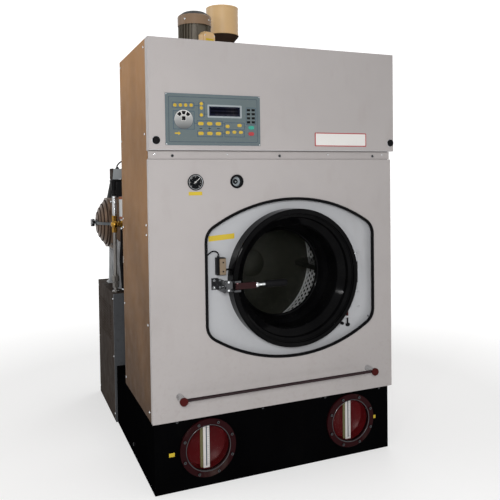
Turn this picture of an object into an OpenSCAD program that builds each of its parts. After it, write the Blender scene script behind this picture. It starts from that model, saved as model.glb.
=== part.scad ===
// Dry cleaning machine: tank base, sheet cabinet, drum and funnel door, service panel, still, roof fan
// Millimetres. The origin is on the floor at the middle of the footprint, the front faces -Y, +Z is up.
// "Edge" distances are measured from the cabinet's left edge, "depths" from the upper front panel's face.

/* [Cabinet] */
// Width over the front panels
cab_w = 1150; // [1120:1:1200]
// Height of the roof above the floor
roof_z = 1859; // [1840:1:1900]
// Thickness of the sheet panels
sheet_t = 2; // [1.5:0.5:2.5]
// Depth of the upper front panel
upper_d = 50; // [45:1:60]
// Height of the upper front panel
upper_h = 447; // [440:1:460]
// How far the lower front panel stands behind the upper one
lower_set = 25; // [20:1:30]
// Height of the gap between the two front panels
rail_gap = 36; // [30:1:42]
// Depth at which the cabinet's side panels end
side_end = 600; // [590:1:620]
// Side of the frame's square tubes
tube = 40; // [30:1:42]
// Running gap between neighbouring sheet parts
seam = 0.3; // [0.2:0.1:0.5]

/* [Base and rear casing] */
// Height of the base tank
base_h = 303; // [295:1:310]
// Length of the base tank
base_len = 855; // [845:1:900]
// How far the base stands in at each side
base_inset = 9; // [5:1:15]
// How far the base's front stands behind the upper panel's face
base_set = 45; // [40:1:48]
// Wall of the base tank
tank_wall = 5; // [3:0.5:8]
// Length of the rear casing
rear_len = 545; // [520:1:600]
// Height of the rear casing
rear_h = 690; // [670:1:710]
// Wall of the rear casing
rear_wall = 3; // [2:0.5:4]

/* [Sight glasses] */
// Edge distance of the left sight glass
sight_l = 236; // [220:1:260]
// Edge distance of the right sight glass
sight_r = 928; // [900:1:940]
// How far the sight glasses' middle lies below the base's top
sight_drop = 137; // [133:1:143]
// Outer diameter of the sight flanges
sight_od = 246; // [230:1:250]
// Thickness of the sight flanges
sight_t = 14; // [12:1:20]
// Window diameter of the sight flanges
sight_id = 190; // [170:1:195]
// Bolts on each flange
sight_bolt_n = 8; // [6:1:12]

/* [Door] */
// Edge distance of the drum and door axis
door_x = 642; // [635:1:650]
// Height of the drum and door axis
door_z = 858; // [850:1:862]
// Outer radius of the door ring
ring_r = 303; // [298:1:306]
// How far the door ring stands in front of the upper panel's face
ring_out = 15; // [10:1:20]
// Outer radius of the door's bowl
bowl_r = 242; // [238:1:243]
// Depth at which the bowl ends
bowl_end = 200; // [190:1:210]
// Radius of the door glass
glass_r = 203; // [200:1:204]
// Thickness of the door glass
glass_t = 8; // [6:1:9]
// Rise of the glass dome
glass_rise = 12; // [6:1:16]
// Offset of the hinge axis outside the ring
hinge_out = 12; // [12:1:14]
// Depth of the hinge axis
hinge_depth = 30; // [28:1:32]
// Radius of the hinge pin
pin_r = 6; // [5:0.5:6.5]
// Running clearance of pins and shafts, on the radius
run = 0.05; // [0.03:0.01:0.08]

/* [Cut-out] */
// Width of the cut-out in the lower panel, over its edging
cut_w = 825; // [815:1:830]
// Height of the cut-out, over its edging
cut_h = 706; // [700:1:712]
// Radius of the arched top and bottom
arch_r = 691; // [680:1:710]
// Radius of the corners
cut_corner = 80; // [60:1:90]
// Width of the rubber edging
edge_w = 12; // [10:1:14]
// How far the edging stands proud of the panel
edge_proud = 3; // [2:0.5:4]
// Depth of the light plate inside the cut-out
plate_depth = 55; // [55:1:60]
// Thickness of that plate
plate_t = 3; // [2:0.5:4]

/* [Drum and drive] */
// Outer radius of the drum
drum_r = 330; // [325:1:335]
// Thickness of the drum's sheet
drum_t = 3; // [2:0.5:4]
// Depth of the drum's front
drum_front = 80; // [76:1:84]
// Depth of the drum's back
drum_back = 535; // [520:1:540]
// Radius of the drum's mouth
mouth_r = 266; // [262:1:270]
// Number of lifters
lifter_n = 3; // [3:1:4]
// Height of the lifters
lifter_h = 78; // [60:1:80]
// Radius of the drum's casing
tub_r = 365; // [360:1:375]
// Depth of the casing's back
tub_back = 560; // [556:1:565]
// Radius of the drum shaft
shaft_r = 30; // [25:1:32]
// Belt radius on the drum pulley
belt_r = 200; // [180:1:210]
// Belt radius on the motor pulley
motor_belt_r = 40; // [35:1:50]
// Height of the motor's axis above the base
motor_lift = 112; // [105:1:125]
// Radius of the drive motor
motor_r = 85; // [75:1:90]

/* [Controls] */
// Edge distance of the control panel's left side
ctrl_x = 66; // [60:1:80]
// Height of the control panel's lower side
ctrl_z = 1432; // [1430:1:1440]
// Width of the control panel
ctrl_w = 409; // [400:1:415]
// Height of the control panel
ctrl_h = 208; // [200:1:212]
// Thickness of the control panel
ctrl_t = 3; // [3:0.5:5]
// Diameter of the gauge's bezel
gauge_d = 67; // [60:1:72]
// Height of the gauge
gauge_z = 1282; // [1278:1:1286]
// Diameter of the round collar beside the gauge
port_d = 58; // [50:1:62]
// Diameter of the lock heads
lock_d = 31; // [26:1:32]
// Height of the locks
lock_z = 1451; // [1450:1:1453]
// Diameter of the handrail's bar
bar_d = 13; // [12:1:16]
// Height of the handrail
bar_z = 404; // [398:1:410]

/* [Roof] */
// Edge distance of the fan motor
fan_x = 286; // [270:1:300]
// Depth of the fan motor
fan_depth = 300; // [290:1:310]
// Radius of the fan cowl
cowl_r = 76; // [72:1:80]
// Height of the fan motor to the top of its cowl
fan_h = 189; // [182:1:196]
// Edge distance of the vent canister
vent_x = 492; // [485:1:510]
// Depth of the vent canister
vent_depth = 500; // [490:1:510]
// Radius of the vent canister
vent_r = 80; // [76:1:84]
// Height of the vent canister above the roof
vent_h = 279; // [272:1:288]

/* [Still] */
// Radius of the still vessel
still_r = 185; // [178:1:188]
// Height of the still's axis
still_z = 1056; // [1050:1:1062]
// Distance of the still's axis behind the base
still_set = 280; // [276:1:286]
// Edge distance of the domed head's tip
head_tip = -47; // [-50:1:-44]
// Length of the domed head
head_len = 200; // [196:1:206]
// Wall of the still
still_wall = 4; // [3:0.5:5]
// Radius of the still's door
lid_r = 140; // [136:1:142]

/* [Hidden] */
$fn = 64;

front_y = -(base_len + rear_len) / 2;      // the base's front
face_y = front_y - base_set;               // the upper panel's face
lower_y = face_y + lower_set;              // the lower panel's face
back_y = face_y + upper_d;                 // where the cabinet's sides begin
half_w = cab_w / 2;
upper_z = roof_z - upper_h;
lower_top = upper_z - rail_gap;
rail_y = lower_y + 8;                      // face of the strip between the front panels
base_back = front_y + base_len;
side_y = face_y + side_end;
axis_x = ex(door_x);
motor_z = base_h + motor_lift;
plate_y = face_y + plate_depth;
post_y = back_y + 7.8;                     // front of the frame's front posts
hinge_x = axis_x + ring_r + hinge_out;
hinge_y = face_y + hinge_depth;
pulley_y = face_y + side_end + 60;         // middle plane of the belt
belt_w = 15;
belt_t = 9;
case_y = base_back + still_set;            // the still's axis
case_top = rear_h;
sight_z = base_h - sight_drop;

// X of an edge distance, and Y of a depth
function ex(v) = v - half_w;
function dy(v) = face_y + v;
function arc(cx, cy, r, a0, a1, n, last = 0) =
    [for (i = [0 : n - 1 + last]) let (a = a0 + (a1 - a0) * i / n) [cx + r * cos(a), cy + r * sin(a)]];

module slab(x0, x1, y0, y1, z0, z1) {
    translate([x0, y0, z0]) cube([x1 - x0, y1 - y0, z1 - z0]);
}
// Stands its children's +Z along +Y, on the axis through (x, z), from y
module along_y(x, y, z) {
    translate([x, y, z]) rotate([-90, 0, 0]) children();
}
module along_x(x, y, z) {
    translate([x, y, z]) rotate([0, 90, 0]) children();
}
// Extrudes an XZ outline from y0 to y1
module plate_xz(y0, y1) {
    translate([0, y1, 0]) rotate([90, 0, 0]) linear_extrude(y1 - y0) children();
}
module ring(r_out, r_in, h) {
    difference() {
        cylinder(r = r_out, h = h);
        translate([0, 0, -1]) cylinder(r = r_in, h = h + 2);
    }
}
// A round rod between two points
module rod(a, b, r) {
    d = b - a;
    l = norm(d);
    translate(a) rotate([0, acos(d[2] / l), atan2(d[1], d[0])]) cylinder(r = r, h = l, $fn = 24);
}
// A smooth path through the given points, n steps to a stretch
function smooth(p, n) = [for (i = [0 : len(p) - 2], k = [0 : n - 1 + (i == len(p) - 2 ? 1 : 0)])
    let (t = k / n, a = p[max(i - 1, 0)], b = p[i], c = p[i + 1], d = p[min(i + 2, len(p) - 1)])
    0.5 * (2 * b + (c - a) * t + (2 * a - 5 * b + 4 * c - d) * t * t + (3 * b - 3 * c + d - a) * t * t * t)];
// Side directions carried along the path's directions t, starting from u
function sides_of(t, u, i = 0) = i == len(t) ? [] :
    let (v = u - (u * t[i]) * t[i], w = v / norm(v)) concat([w], sides_of(t, w, i + 1));
// A round tube of radius r along the path p, whose first side direction is u0
module tube_along(p, r, u0) {
    m = 12;
    n = len(p);
    t = [for (i = [0 : n - 1]) let (d = p[min(i + 1, n - 1)] - p[max(i - 1, 0)]) d / norm(d)];
    u = sides_of(t, u0);
    pts = [for (i = [0 : n - 1], k = [0 : m - 1])
        p[i] + r * (cos(360 * k / m) * u[i] + sin(360 * k / m) * cross(t[i], u[i]))];
    sides = [for (i = [0 : n - 2], k = [0 : m - 1], h = [0, 1])
        let (a = i * m + k, b = i * m + (k + 1) % m) h == 0 ? [a, a + m, b + m] : [a, b + m, b]];
    polyhedron(points = pts, faces = concat([[for (k = [0 : m - 1]) k]], sides,
        [[for (k = [m - 1 : -1 : 0]) (n - 1) * m + k]]));
}

/* ---- cut-out ---- */
// Barrel outline, drawn in by an inset
function barrel(inset) =
    let (w = cut_w / 2 - inset, h = cut_h / 2 - inset, ra = arch_r - inset, rc = cut_corner - inset,
        c = h - ra, kx = w - rc, ky = sqrt(pow(ra - rc, 2) - kx * kx) + c, a = atan2(ky - c, kx))
    concat(arc(kx, ky, rc, 0, a, 8), arc(0, c, ra, a, 180 - a, 24), arc(-kx, ky, rc, 180 - a, 180, 8, 1),
        arc(-kx, -ky, rc, 180, 180 + a, 8), arc(0, -c, ra, 180 + a, 360 - a, 24),
        arc(kx, -ky, rc, 360 - a, 360, 8, 1));
cut_x = axis_x;
cut_z = door_z - 1;
panel_lap = 6;                             // how far the edging covers the sheet
module barrel_at(inset) {
    translate([cut_x, cut_z]) polygon(barrel(inset));
}

/* ---- base and casing ---- */
port_r = sight_id / 2;
module base_tank() {
    hw = half_w - base_inset;
    color("#141416") difference() {
        slab(-hw, hw, front_y, base_back, 0, base_h);
        for (s = [-1, 1]) {
            x0 = s > 0 ? tank_wall / 2 : -hw + tank_wall;
            x1 = s > 0 ? hw - tank_wall : -tank_wall / 2;
            slab(x0, x1, front_y + tank_wall, base_back - tank_wall, tank_wall, base_h - tank_wall);
        }
        for (x = [sight_l, sight_r])
            along_y(ex(x), front_y - 1, sight_z) cylinder(r = port_r, h = tank_wall + 2);
    }
}
module rear_casing() {
    color("#4a3a33") difference() {
        slab(-half_w, half_w, base_back + rear_wall, base_back + rear_len, 0, rear_h);
        slab(-half_w + rear_wall, half_w - rear_wall, base_back, base_back + rear_len - rear_wall,
            -1, rear_h - rear_wall);
    }
}
module rear_casing_front() {
    color("#8f979c") slab(-half_w, half_w, base_back, base_back + rear_wall, 0, rear_h);
}

/* ---- cabinet ---- */
post_x = half_w - sheet_t;
post_back = side_y - sheet_t - tube;
frame_top = roof_z - sheet_t;
module cabinet_frame() {
    color("#8c8f92") {
        for (s = [-1, 1], y = [post_y, post_back]) {
            x0 = s > 0 ? post_x - tube : -post_x;
            slab(x0, x0 + tube, y, y + tube, base_h, frame_top);
        }
        for (y = [post_y, post_back])
            slab(-post_x, post_x, y, y + tube, frame_top - tube, frame_top);
        for (s = [-1, 1]) {
            x0 = s > 0 ? post_x - tube : -post_x;
            slab(x0, x0 + tube, post_y, post_back + tube, frame_top - tube, frame_top);
            slab(x0, x0 + tube, post_y, post_back + tube, lower_top - tube, lower_top);
        }
    }
}
flange_w = 6;
module side_panel(s) {
    x0 = s > 0 ? half_w - sheet_t : -half_w;
    f0 = s > 0 ? half_w - flange_w : -half_w;
    color("#cfc9c2") {
        slab(x0, x0 + sheet_t, back_y, side_y, base_h, roof_z);
        slab(f0, f0 + flange_w, post_y - seam - sheet_t, post_y - seam, base_h, frame_top - seam);
    }
}
module side_panel_left() { side_panel(-1); }
module side_panel_right() { side_panel(1); }
module rear_panel() {
    hw = half_w - sheet_t;
    color("#c9c4be") plate_xz(side_y - sheet_t, side_y) difference() {
        translate([-hw, base_h]) square([2 * hw, frame_top - base_h]);
        translate([axis_x, door_z]) circle(r = bearing_r + 8);
    }
}
hinge_lx = [-380, 380];                    // the service panel's two hinges
hinge_r = 4.5;
// A stretch of hinge barrel or pin on the service panel's axis
module hinge_rod(x, x0, x1, r) {
    along_x(x + x0, back_y, roof_z) cylinder(r = r, h = x1 - x0, $fn = 32);
}
module roof_panel() {
    hw = half_w - sheet_t;
    color("#d2cdc6") difference() {
        union() {
            slab(-hw, hw, back_y, side_y, frame_top, roof_z);
            for (x = hinge_lx) hinge_rod(x, -12, 12, hinge_r);
        }
        for (x = hinge_lx) {
            hinge_rod(x, -40, 40, 2.5 + run);
            for (s = [[-30 - seam, -12], [12, 30 + seam]]) hinge_rod(x, s[0], s[1], hinge_r + seam);
        }
        translate([ex(fan_x), dy(fan_depth), 0]) cylinder(r = 40, h = roof_z + 1);
        translate([ex(vent_x), dy(vent_depth), 0]) cylinder(r = 36, h = roof_z + 1);
    }
}
rail_lap = 6;
module cross_rail() {
    hw = half_w - sheet_t;
    z0 = lower_top + 1.5;
    z1 = upper_z - 1.5;
    color("#b9b7b3") difference() {
        union() {
            slab(-hw, hw, back_y, back_y + sheet_t, lower_top - rail_lap, upper_z + rail_lap + 2);
            slab(-hw, hw, rail_y, back_y + 0.1, z0, z1);
        }
        slab(-hw - 1, hw + 1, rail_y + sheet_t, back_y + sheet_t + 1, z0 + sheet_t, z1 - sheet_t);
    }
}
post_l = 112;                              // edge distance of the handrail's left post
post_rt = 1014;                            // and of its right post
module lower_front_panel() {
    color("#d9d5cf") {
        plate_xz(lower_y, lower_y + sheet_t) difference() {
            translate([-half_w, base_h]) square([cab_w, lower_top - base_h]);
            barrel_at(panel_lap);
            translate([ex(gauge_x), gauge_z]) circle(r = gauge_d / 2 - 3);
            translate([ex(port_x), gauge_z + 1]) circle(r = port_d / 2 - 3);
        }
        y1 = back_y - seam;
        for (x = [-half_w, half_w - sheet_t]) slab(x, x + sheet_t, lower_y, y1, base_h, lower_top);
        for (z = [base_h, lower_top - sheet_t]) slab(-half_w, half_w, lower_y, y1, z, z + sheet_t);
    }
}
module cutout_edging() {
    color("#17171a") difference() {
        union() {
            plate_xz(lower_y - edge_proud, lower_y) difference() {
                barrel_at(0);
                barrel_at(edge_w);
            }
            plate_xz(lower_y - edge_proud, lower_y + sheet_t + edge_proud) difference() {
                barrel_at(panel_lap + 0.1);
                barrel_at(edge_w);
            }
            plate_xz(lower_y + sheet_t, lower_y + sheet_t + edge_proud) difference() {
                barrel_at(0);
                barrel_at(edge_w);
            }
        }
    }
}
module upper_front_panel() {
    z0 = upper_z;
    y1 = back_y - seam;
    hw = half_w - sheet_t;
    color("#dcd8d2") {
        difference() {
            slab(-half_w, half_w, face_y, y1, z0, roof_z);
            slab(-hw, hw, face_y + sheet_t, y1 + 1, z0 + sheet_t, roof_z - sheet_t);
            for (x = [lock_lx, lock_rx])
                along_y(x, face_y - 1, lock_z) cylinder(r = lock_barrel + seam, h = 5);
            for (x = hinge_lx) hinge_rod(x, -12 - seam, 12 + seam, hinge_r + seam);
        }
        for (x = hinge_lx) {
            for (s = [[-30, -12 - seam], [12 + seam, 30]]) hinge_rod(x, s[0], s[1], hinge_r);
            hinge_rod(x, -30, 30, 2.5);
        }
    }
}

/* ---- controls ---- */
lock_lx = ex(28);
lock_rx = ex(1133);
lock_barrel = 10;
lock_head = 4;
cam_t = 2;
cam_y = post_y - seam - sheet_t - seam - cam_t;
// A quarter-turn lock whose cam points along s
module lock(x, s) {
    color("#1b1b1d") difference() {
        along_y(x, face_y - seam - lock_head, lock_z) cylinder(r = lock_d / 2, h = lock_head);
        y = face_y - seam - lock_head;
        slab(x - 9, x + 9, y - 1, y + 1.5, lock_z - 1.5, lock_z + 1.5);
    }
    color("#8a8a8a") {
        along_y(x, face_y - seam, lock_z) cylinder(r = lock_barrel, h = cam_y + cam_t - face_y + seam);
        x1 = x + s * 45;
        slab(min(x, x1), max(x, x1), cam_y, cam_y + cam_t, lock_z - 7, lock_z + 7);
    }
}
module lock_left() { lock(lock_lx, 1); }
module lock_right() { lock(lock_rx, -1); }

key_w = 26;
key_h = 15;
key_gap = 0.3;
key_x = ctrl_x + ctrl_w - 41;
start_z = ctrl_z + 76;
stop_z = ctrl_z + 50;
pocket = 2.5;
key_t = 2.2;
module stadium(w, h) {
    for (s = [-1, 1]) translate([s * (w - h) / 2, 0]) circle(d = h);
    square([w - h, h], center = true);
}
lcd_x = ctrl_x + 184;
lcd_z = ctrl_z + 121;
lcd_w = 134;
lcd_h = 38;
module control_panel() {
    y0 = face_y - ctrl_t;
    color("#8fa0a6") difference() {
        slab(ex(ctrl_x), ex(ctrl_x + ctrl_w), y0, face_y, ctrl_z, ctrl_z + ctrl_h);
        for (z = [start_z, stop_z]) plate_xz(y0 - 1, y0 + pocket)
            translate([ex(key_x), z]) stadium(key_w + 2 * key_gap, key_h + 2 * key_gap);
        slab(ex(lcd_x), ex(lcd_x + lcd_w), y0 - 1, y0 + 2, lcd_z, lcd_z + lcd_h);
    }
}
module lcd_window() {
    y0 = face_y - ctrl_t;
    x0 = ex(lcd_x);
    color("#1d2438") slab(x0 + 0.2, x0 + lcd_w - 0.2, y0, y0 + 1.9, lcd_z + 0.2, lcd_z + lcd_h - 0.2);
}
module key(z) {
    y0 = face_y - ctrl_t - 0.8;
    plate_xz(y0, y0 + key_t) translate([ex(key_x), z]) stadium(key_w, key_h);
}
module start_key() { color("#2f9c86") key(start_z); }
module stop_key() { color("#a3282c") key(stop_z); }

gauge_x = 194;
gauge_body = gauge_d / 2 - 3.3;
module gauge_case() {
    color("#1c1c1e") difference() {
        union() {
            along_y(ex(gauge_x), lower_y - 8, gauge_z) cylinder(r = gauge_d / 2, h = 8);
            along_y(ex(gauge_x), lower_y - 1, gauge_z) cylinder(r = gauge_body, h = 26);
        }
        along_y(ex(gauge_x), lower_y - 9, gauge_z) cylinder(r = gauge_d / 2 - 4, h = 7);
    }
    color("#8a8a8a") along_y(ex(gauge_x), lower_y - 4, gauge_z) cylinder(r = 1.5, h = 3, $fn = 24);
}
module gauge_needle() {
    color("#202020") translate([ex(gauge_x), 0, gauge_z]) rotate([0, 50, 0]) {
        difference() {
            union() {
                along_y(0, lower_y - 3.4, 0) cylinder(r = 3.6, h = 1, $fn = 24);
                slab(-0.9, 0.9, lower_y - 3.4, lower_y - 2.4, -8, 24);
            }
            along_y(0, lower_y - 4, 0) cylinder(r = 1.5 + run, h = 3, $fn = 24);
        }
    }
}
port_x = 376;
module port_collar() {
    x = ex(port_x);
    z = gauge_z + 1;
    color("#141416") difference() {
        union() {
            along_y(x, lower_y - 5, z) cylinder(r = port_d / 2, h = 5);
            along_y(x, lower_y - 1, z) cylinder(r = port_d / 2 - 3.3, h = 26);
        }
        along_y(x, lower_y - 6, z) cylinder(r = port_d / 2 - 8, h = 25);
    }
    color("#b8babd") along_y(x, lower_y + 17, z) ring(port_d / 2 - 8, 11, 3);
    color("#2a2a2c") along_y(x, lower_y + 10, z) cylinder(r = 8, h = 10);
}

/* ---- handrail ---- */
post_len = 63;
module handrail() {
    bar_y = lower_y - 55;
    color("#c8cacc") {
        for (x = [post_l, post_rt]) along_y(ex(x), lower_y - post_len, bar_z) cylinder(r = 14, h = post_len);
        rod([ex(post_l), bar_y, bar_z], [ex(post_rt), bar_y, bar_z], bar_d / 2);
    }
    color("#4a1216") for (x = [post_l, post_rt])
        along_y(ex(x), lower_y - post_len - 8, bar_z) cylinder(r = 17, h = 8);
}

/* ---- sight glasses ---- */
sight_glass_r = sight_id / 2 + 6;
sight_glass_t = 6;
bolt_pcd = (sight_od + sight_id) / 2 + 6;
module sight_flanges() {
    for (x = [sight_l, sight_r]) color("#5a1420") difference() {
        along_y(ex(x), front_y - sight_t, sight_z) ring(sight_od / 2, sight_id / 2, sight_t);
        along_y(ex(x), front_y - sight_glass_t - 0.1, sight_z) cylinder(r = sight_glass_r + 0.2, h = 20);
    }
}
module sight_glasses() {
    for (x = [sight_l, sight_r]) color([0.8, 0.85, 0.85, 0.5])
        along_y(ex(x), front_y - sight_glass_t, sight_z) cylinder(r = sight_glass_r, h = sight_glass_t);
}
strip_screws = [101, cab_w / 2 + 5, cab_w - 94];
base_screws = [105, 490, 800, cab_w - 60];
// Screws of the strip and the base, and the bolts of the sight flanges
module front_screws() {
    color("#c4c6c8") {
        for (x = strip_screws) along_y(ex(x), rail_y - 3, lower_top + 15) cylinder(r = 6, h = 3, $fn = 24);
        for (x = base_screws) along_y(ex(x), front_y - 3, base_h - 11) cylinder(r = 5, h = 3, $fn = 24);
        for (x = [sight_l, sight_r], i = [0 : sight_bolt_n - 1]) {
            a = (i + 0.5) * 360 / sight_bolt_n;
            p = bolt_pcd / 2 * [cos(a), sin(a)];
            along_y(ex(x) + p[0], front_y - sight_t - 6, sight_z + p[1]) cylinder(r = 6, h = 6, $fn = 24);
        }
    }
}

/* ---- drum, casing and drive ---- */
plate_l = 200;                             // edge distance of the light plate's left side
plate_r = 1085;
module housing_front_plate() {
    color("#c9ccce") plate_xz(plate_y, plate_y + plate_t) difference() {
        translate([ex(plate_l), 470]) square([plate_r - plate_l, 775]);
        translate([axis_x, door_z]) circle(r = mouth_r + 1, $fn = 96);
        translate([ex(cable_x), cable_z]) circle(r = 5, $fn = 24);
    }
}
chute_w = 200;
module drum_housing() {
    tub_y = plate_y + plate_t;
    y1 = dy(tub_back);
    color("#9da1a4") difference() {
        union() {
            along_y(axis_x, 0, door_z) rotate_extrude($fn = 96) polygon([[tub_r, tub_y], [tub_r, y1],
                [bearing_in, y1], [bearing_in, y1 - 3], [tub_r - 3, y1 - 3], [tub_r - 3, tub_y]]);
            difference() {
                slab(axis_x - chute_w / 2, axis_x + chute_w / 2, dy(200), dy(360), base_h, door_z - 300);
                along_y(axis_x, dy(190), door_z) cylinder(r = tub_r - 3, h = 180, $fn = 96);
            }
        }
        slab(axis_x - chute_w / 2 + 3, axis_x + chute_w / 2 - 3, dy(203), dy(357), base_h - 1, door_z - 300);
    }
}
// The drum's shell and back with the lifters and the shaft
module drum() {
    y0 = dy(drum_front) + drum_t;
    y1 = dy(drum_back);
    r = drum_r;
    t = drum_t;
    h = r - lifter_h;
    color("#b4b8ba") along_y(axis_x, 0, door_z) {
        rotate_extrude($fn = 96) polygon([[r - t, y0], [r, y0], [r, y1], [shaft_r - run, y1],
            [shaft_r - run, pulley_y + 22], [0, pulley_y + 22], [0, y1 - t], [r - t, y1 - t]]);
        for (i = [0 : lifter_n - 1]) rotate([0, 0, i * 360 / lifter_n + 3]) translate([0, 0, y0])
            linear_extrude(y1 - y0 - t / 2) polygon([[r - t / 2, -30], [r - t / 2, 30], [h, 12], [h, -12]]);
    }
}
module drum_front() {
    color("#b4b8ba") along_y(axis_x, dy(drum_front), door_z)
        rotate_extrude($fn = 96) polygon([[mouth_r, 0], [drum_r, 0], [drum_r, drum_t], [mouth_r, drum_t]]);
}
bearing_in = 52;
bearing_r = 75;
bearing_w = 22;
house_len = 82;
module bearing_housing() {
    y0 = dy(tub_back);
    color("#54585c") {
        along_y(axis_x, y0, door_z) ring(bearing_r, bearing_in, house_len);
        along_y(axis_x, y0, door_z) ring(120, bearing_in, 12);
    }
}
module shaft_bearings() {
    for (y = [dy(tub_back) + 2, dy(tub_back) + house_len - bearing_w - 2])
        color("#c2c4c6") along_y(axis_x, y, door_z) ring(bearing_in - 0.02, shaft_r, bearing_w);
}
belt_gap = 0.5;
// A pulley's outline of revolution with a groove for the belt
module pulley(r, hub, bore) {
    g = belt_w / 2 + belt_gap;
    e = r + belt_t + 3;
    rotate_extrude($fn = 96) polygon([[bore, -g - 5], [hub, -g - 5], [hub, -6], [r - 12, -6],
        [r - 12, -g - 5], [e, -g - 5], [e, -g], [r - belt_gap, -g], [r - belt_gap, g], [e, g],
        [e, g + 5], [r - 12, g + 5], [r - 12, 6], [hub, 6], [hub, g + 5], [bore, g + 5]]);
}
module drum_pulley() {
    color("#6c7074") along_y(axis_x, pulley_y, door_z) difference() {
        pulley(belt_r, 55, shaft_r - run);
        for (i = [0 : 4]) rotate([0, 0, i * 72]) translate([120, 0, -20]) cylinder(r = 38, h = 40, $fn = 32);
    }
}
motor_shaft_r = 14;
motor_y = pulley_y + 40;                   // front face of the drive motor
module motor_pulley() {
    g = belt_w / 2 + belt_gap + 5;
    e = motor_belt_r + belt_t + 3;
    color("#85888b") along_y(axis_x, pulley_y, motor_z) {
        rotate_extrude() polygon([[0, -g], [e, -g], [e, 5 - g], [motor_belt_r - belt_gap, 5 - g],
            [motor_belt_r - belt_gap, g - 5], [e, g - 5], [e, g], [0, g]]);
        cylinder(r = motor_shaft_r - run, h = motor_y - pulley_y + 25);
    }
}
function belt_loop(g) =
    let (d = door_z - motor_z, a = asin((belt_r - motor_belt_r) / d))
    concat(arc(0, 0, belt_r + g, -a, 180 + a, 72, 1), arc(0, -d, motor_belt_r + g, 180 + a, 360 - a, 24, 1));
module drive_belt() {
    h = belt_w / 2;
    color("#1d1d1f") plate_xz(pulley_y - h, pulley_y + h) translate([axis_x, door_z]) difference() {
        polygon(belt_loop(belt_t));
        polygon(belt_loop(0.1));
    }
}
motor_len = 170;
module drive_motor() {
    color("#3d5560") difference() {
        union() {
            along_y(axis_x, motor_y, motor_z) cylinder(r = motor_r, h = motor_len);
            slab(axis_x - 80, axis_x + 80, motor_y + 25, motor_y + 145, base_h, base_h + 12);
            for (x = [axis_x - 62, axis_x + 62])
                slab(x - 8, x + 8, motor_y + 25, motor_y + 145, base_h, motor_z - 40);
            slab(axis_x - 40, axis_x + 40, motor_y + 40, motor_y + 120, motor_z, motor_z + motor_r + 28);
            for (i = [0 : 23]) along_y(axis_x, motor_y + 20, motor_z) rotate([0, 0, i * 15])
                translate([motor_r - 2, -1.5, 0]) cube([8, 3, motor_len - 50]);
        }
        along_y(axis_x, motor_y - 1, motor_z) cylinder(r = motor_shaft_r, h = 31);
    }
}

/* ---- door ---- */
knuckle_r = 11;
knuckles = [[-48, -8.5], [8.5, 48]];       // the door's hinge knuckles, from the axis height
ears = [[-78, -49], [-8, 8], [49, 78]];    // the bracket's ears
module door_ring() {
    f = face_y - ring_out;
    b = plate_y - seam;
    color("#121213") difference() {
        union() {
            along_y(axis_x, 0, door_z) rotate_extrude($fn = 96) polygon([
                [ring_r - 6, f], [ring_r - 2, f + 2], [ring_r, f + 6], [ring_r, b], [bowl_r - 6, b],
                [bowl_r - 6, f + 65], [bowl_r + 20, f + 42], [bowl_r + 24, f + 27], [bowl_r + 37, f + 17],
                [bowl_r + 41, f]]);
            for (k = knuckles) translate([0, 0, door_z + k[0]]) {
                h = k[1] - k[0];
                slab(axis_x + ring_r - 22, hinge_x, hinge_y - knuckle_r, hinge_y + knuckle_r, 0, h);
                translate([hinge_x, hinge_y, 0]) cylinder(r = knuckle_r, h = h);
            }
        }
        translate([hinge_x, hinge_y, door_z - 60]) cylinder(r = pin_r + run, h = 120);
    }
}
// The funnel behind the ring, down to the seat of the glass
module door_bowl() {
    b = plate_y - seam;
    g = glass_r + 0.3;
    e = dy(bowl_end);
    color("#121213") along_y(axis_x, 0, door_z) rotate_extrude($fn = 96) polygon([
        [bowl_r - 6, b], [bowl_r, b], [bowl_r, e - 60], [bowl_r - 27, e], [g - 6, e], [g - 6, e - 3.7],
        [g, e - 3.7], [g, e - 14], [bowl_r - 28, e - 50], [bowl_r - 16, e - 70], [bowl_r - 10, e - 130]]);
}
function dome(r, rise, n) =
    let (big = (r * r + rise * rise) / (2 * rise), a = asin(r / big))
    [for (i = [0 : n]) [big * sin(a * i / n), big * cos(a * i / n) - (big - rise)]];
module door_glass() {
    y1 = dy(bowl_end) - 3.7;
    d = dome(glass_r, glass_rise, 12);
    // the dome bulges towards the front, so its height runs along -Y
    color([0.25, 0.28, 0.27, 0.45]) along_y(axis_x, y1, door_z) rotate_extrude($fn = 96)
        polygon(concat([for (p = d) [p[0], -p[1] - glass_t]],
            [for (i = [12 : -1 : 0]) [d[i][0], min(0, -d[i][1] * 0.999)]]));
}
module hinge_bracket() {
    y0 = plate_y - 3;
    color("#d0d2d3") {
        slab(hinge_x - 9, hinge_x + 43, y0, plate_y, door_z - 220, door_z + 90);
        slab(axis_x + 241, hinge_x - 9, y0, plate_y, door_z - 258, door_z - 210);
        slab(axis_x + 268, hinge_x - 9, y0, plate_y, door_z - 210, door_z - 168);
        for (e = ears) {
            slab(hinge_x - 9, hinge_x + 12, hinge_y, plate_y, door_z + e[0], door_z + e[1]);
            translate([hinge_x, hinge_y, door_z + e[0]]) cylinder(r = knuckle_r, h = e[1] - e[0]);
        }
    }
    color("#3a1a1c") {
        translate([hinge_x, hinge_y, door_z - 86]) cylinder(r = pin_r, h = 172);
        translate([axis_x + 280, y0 - 8, door_z - 250]) cylinder(r = 4, h = 108, $fn = 24);
        slab(axis_x + 246, axis_x + 286, y0 - 13, y0, door_z - 211, door_z - 203);
        slab(axis_x + 274, axis_x + 286, y0 - 13, y0, door_z - 252, door_z - 241);
    }
    color("#151516") for (p = [[252, -236], [284, -244]])
        along_y(axis_x + p[0], y0 - 12, door_z + p[1]) cylinder(r = 7, h = 12);
}

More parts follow.
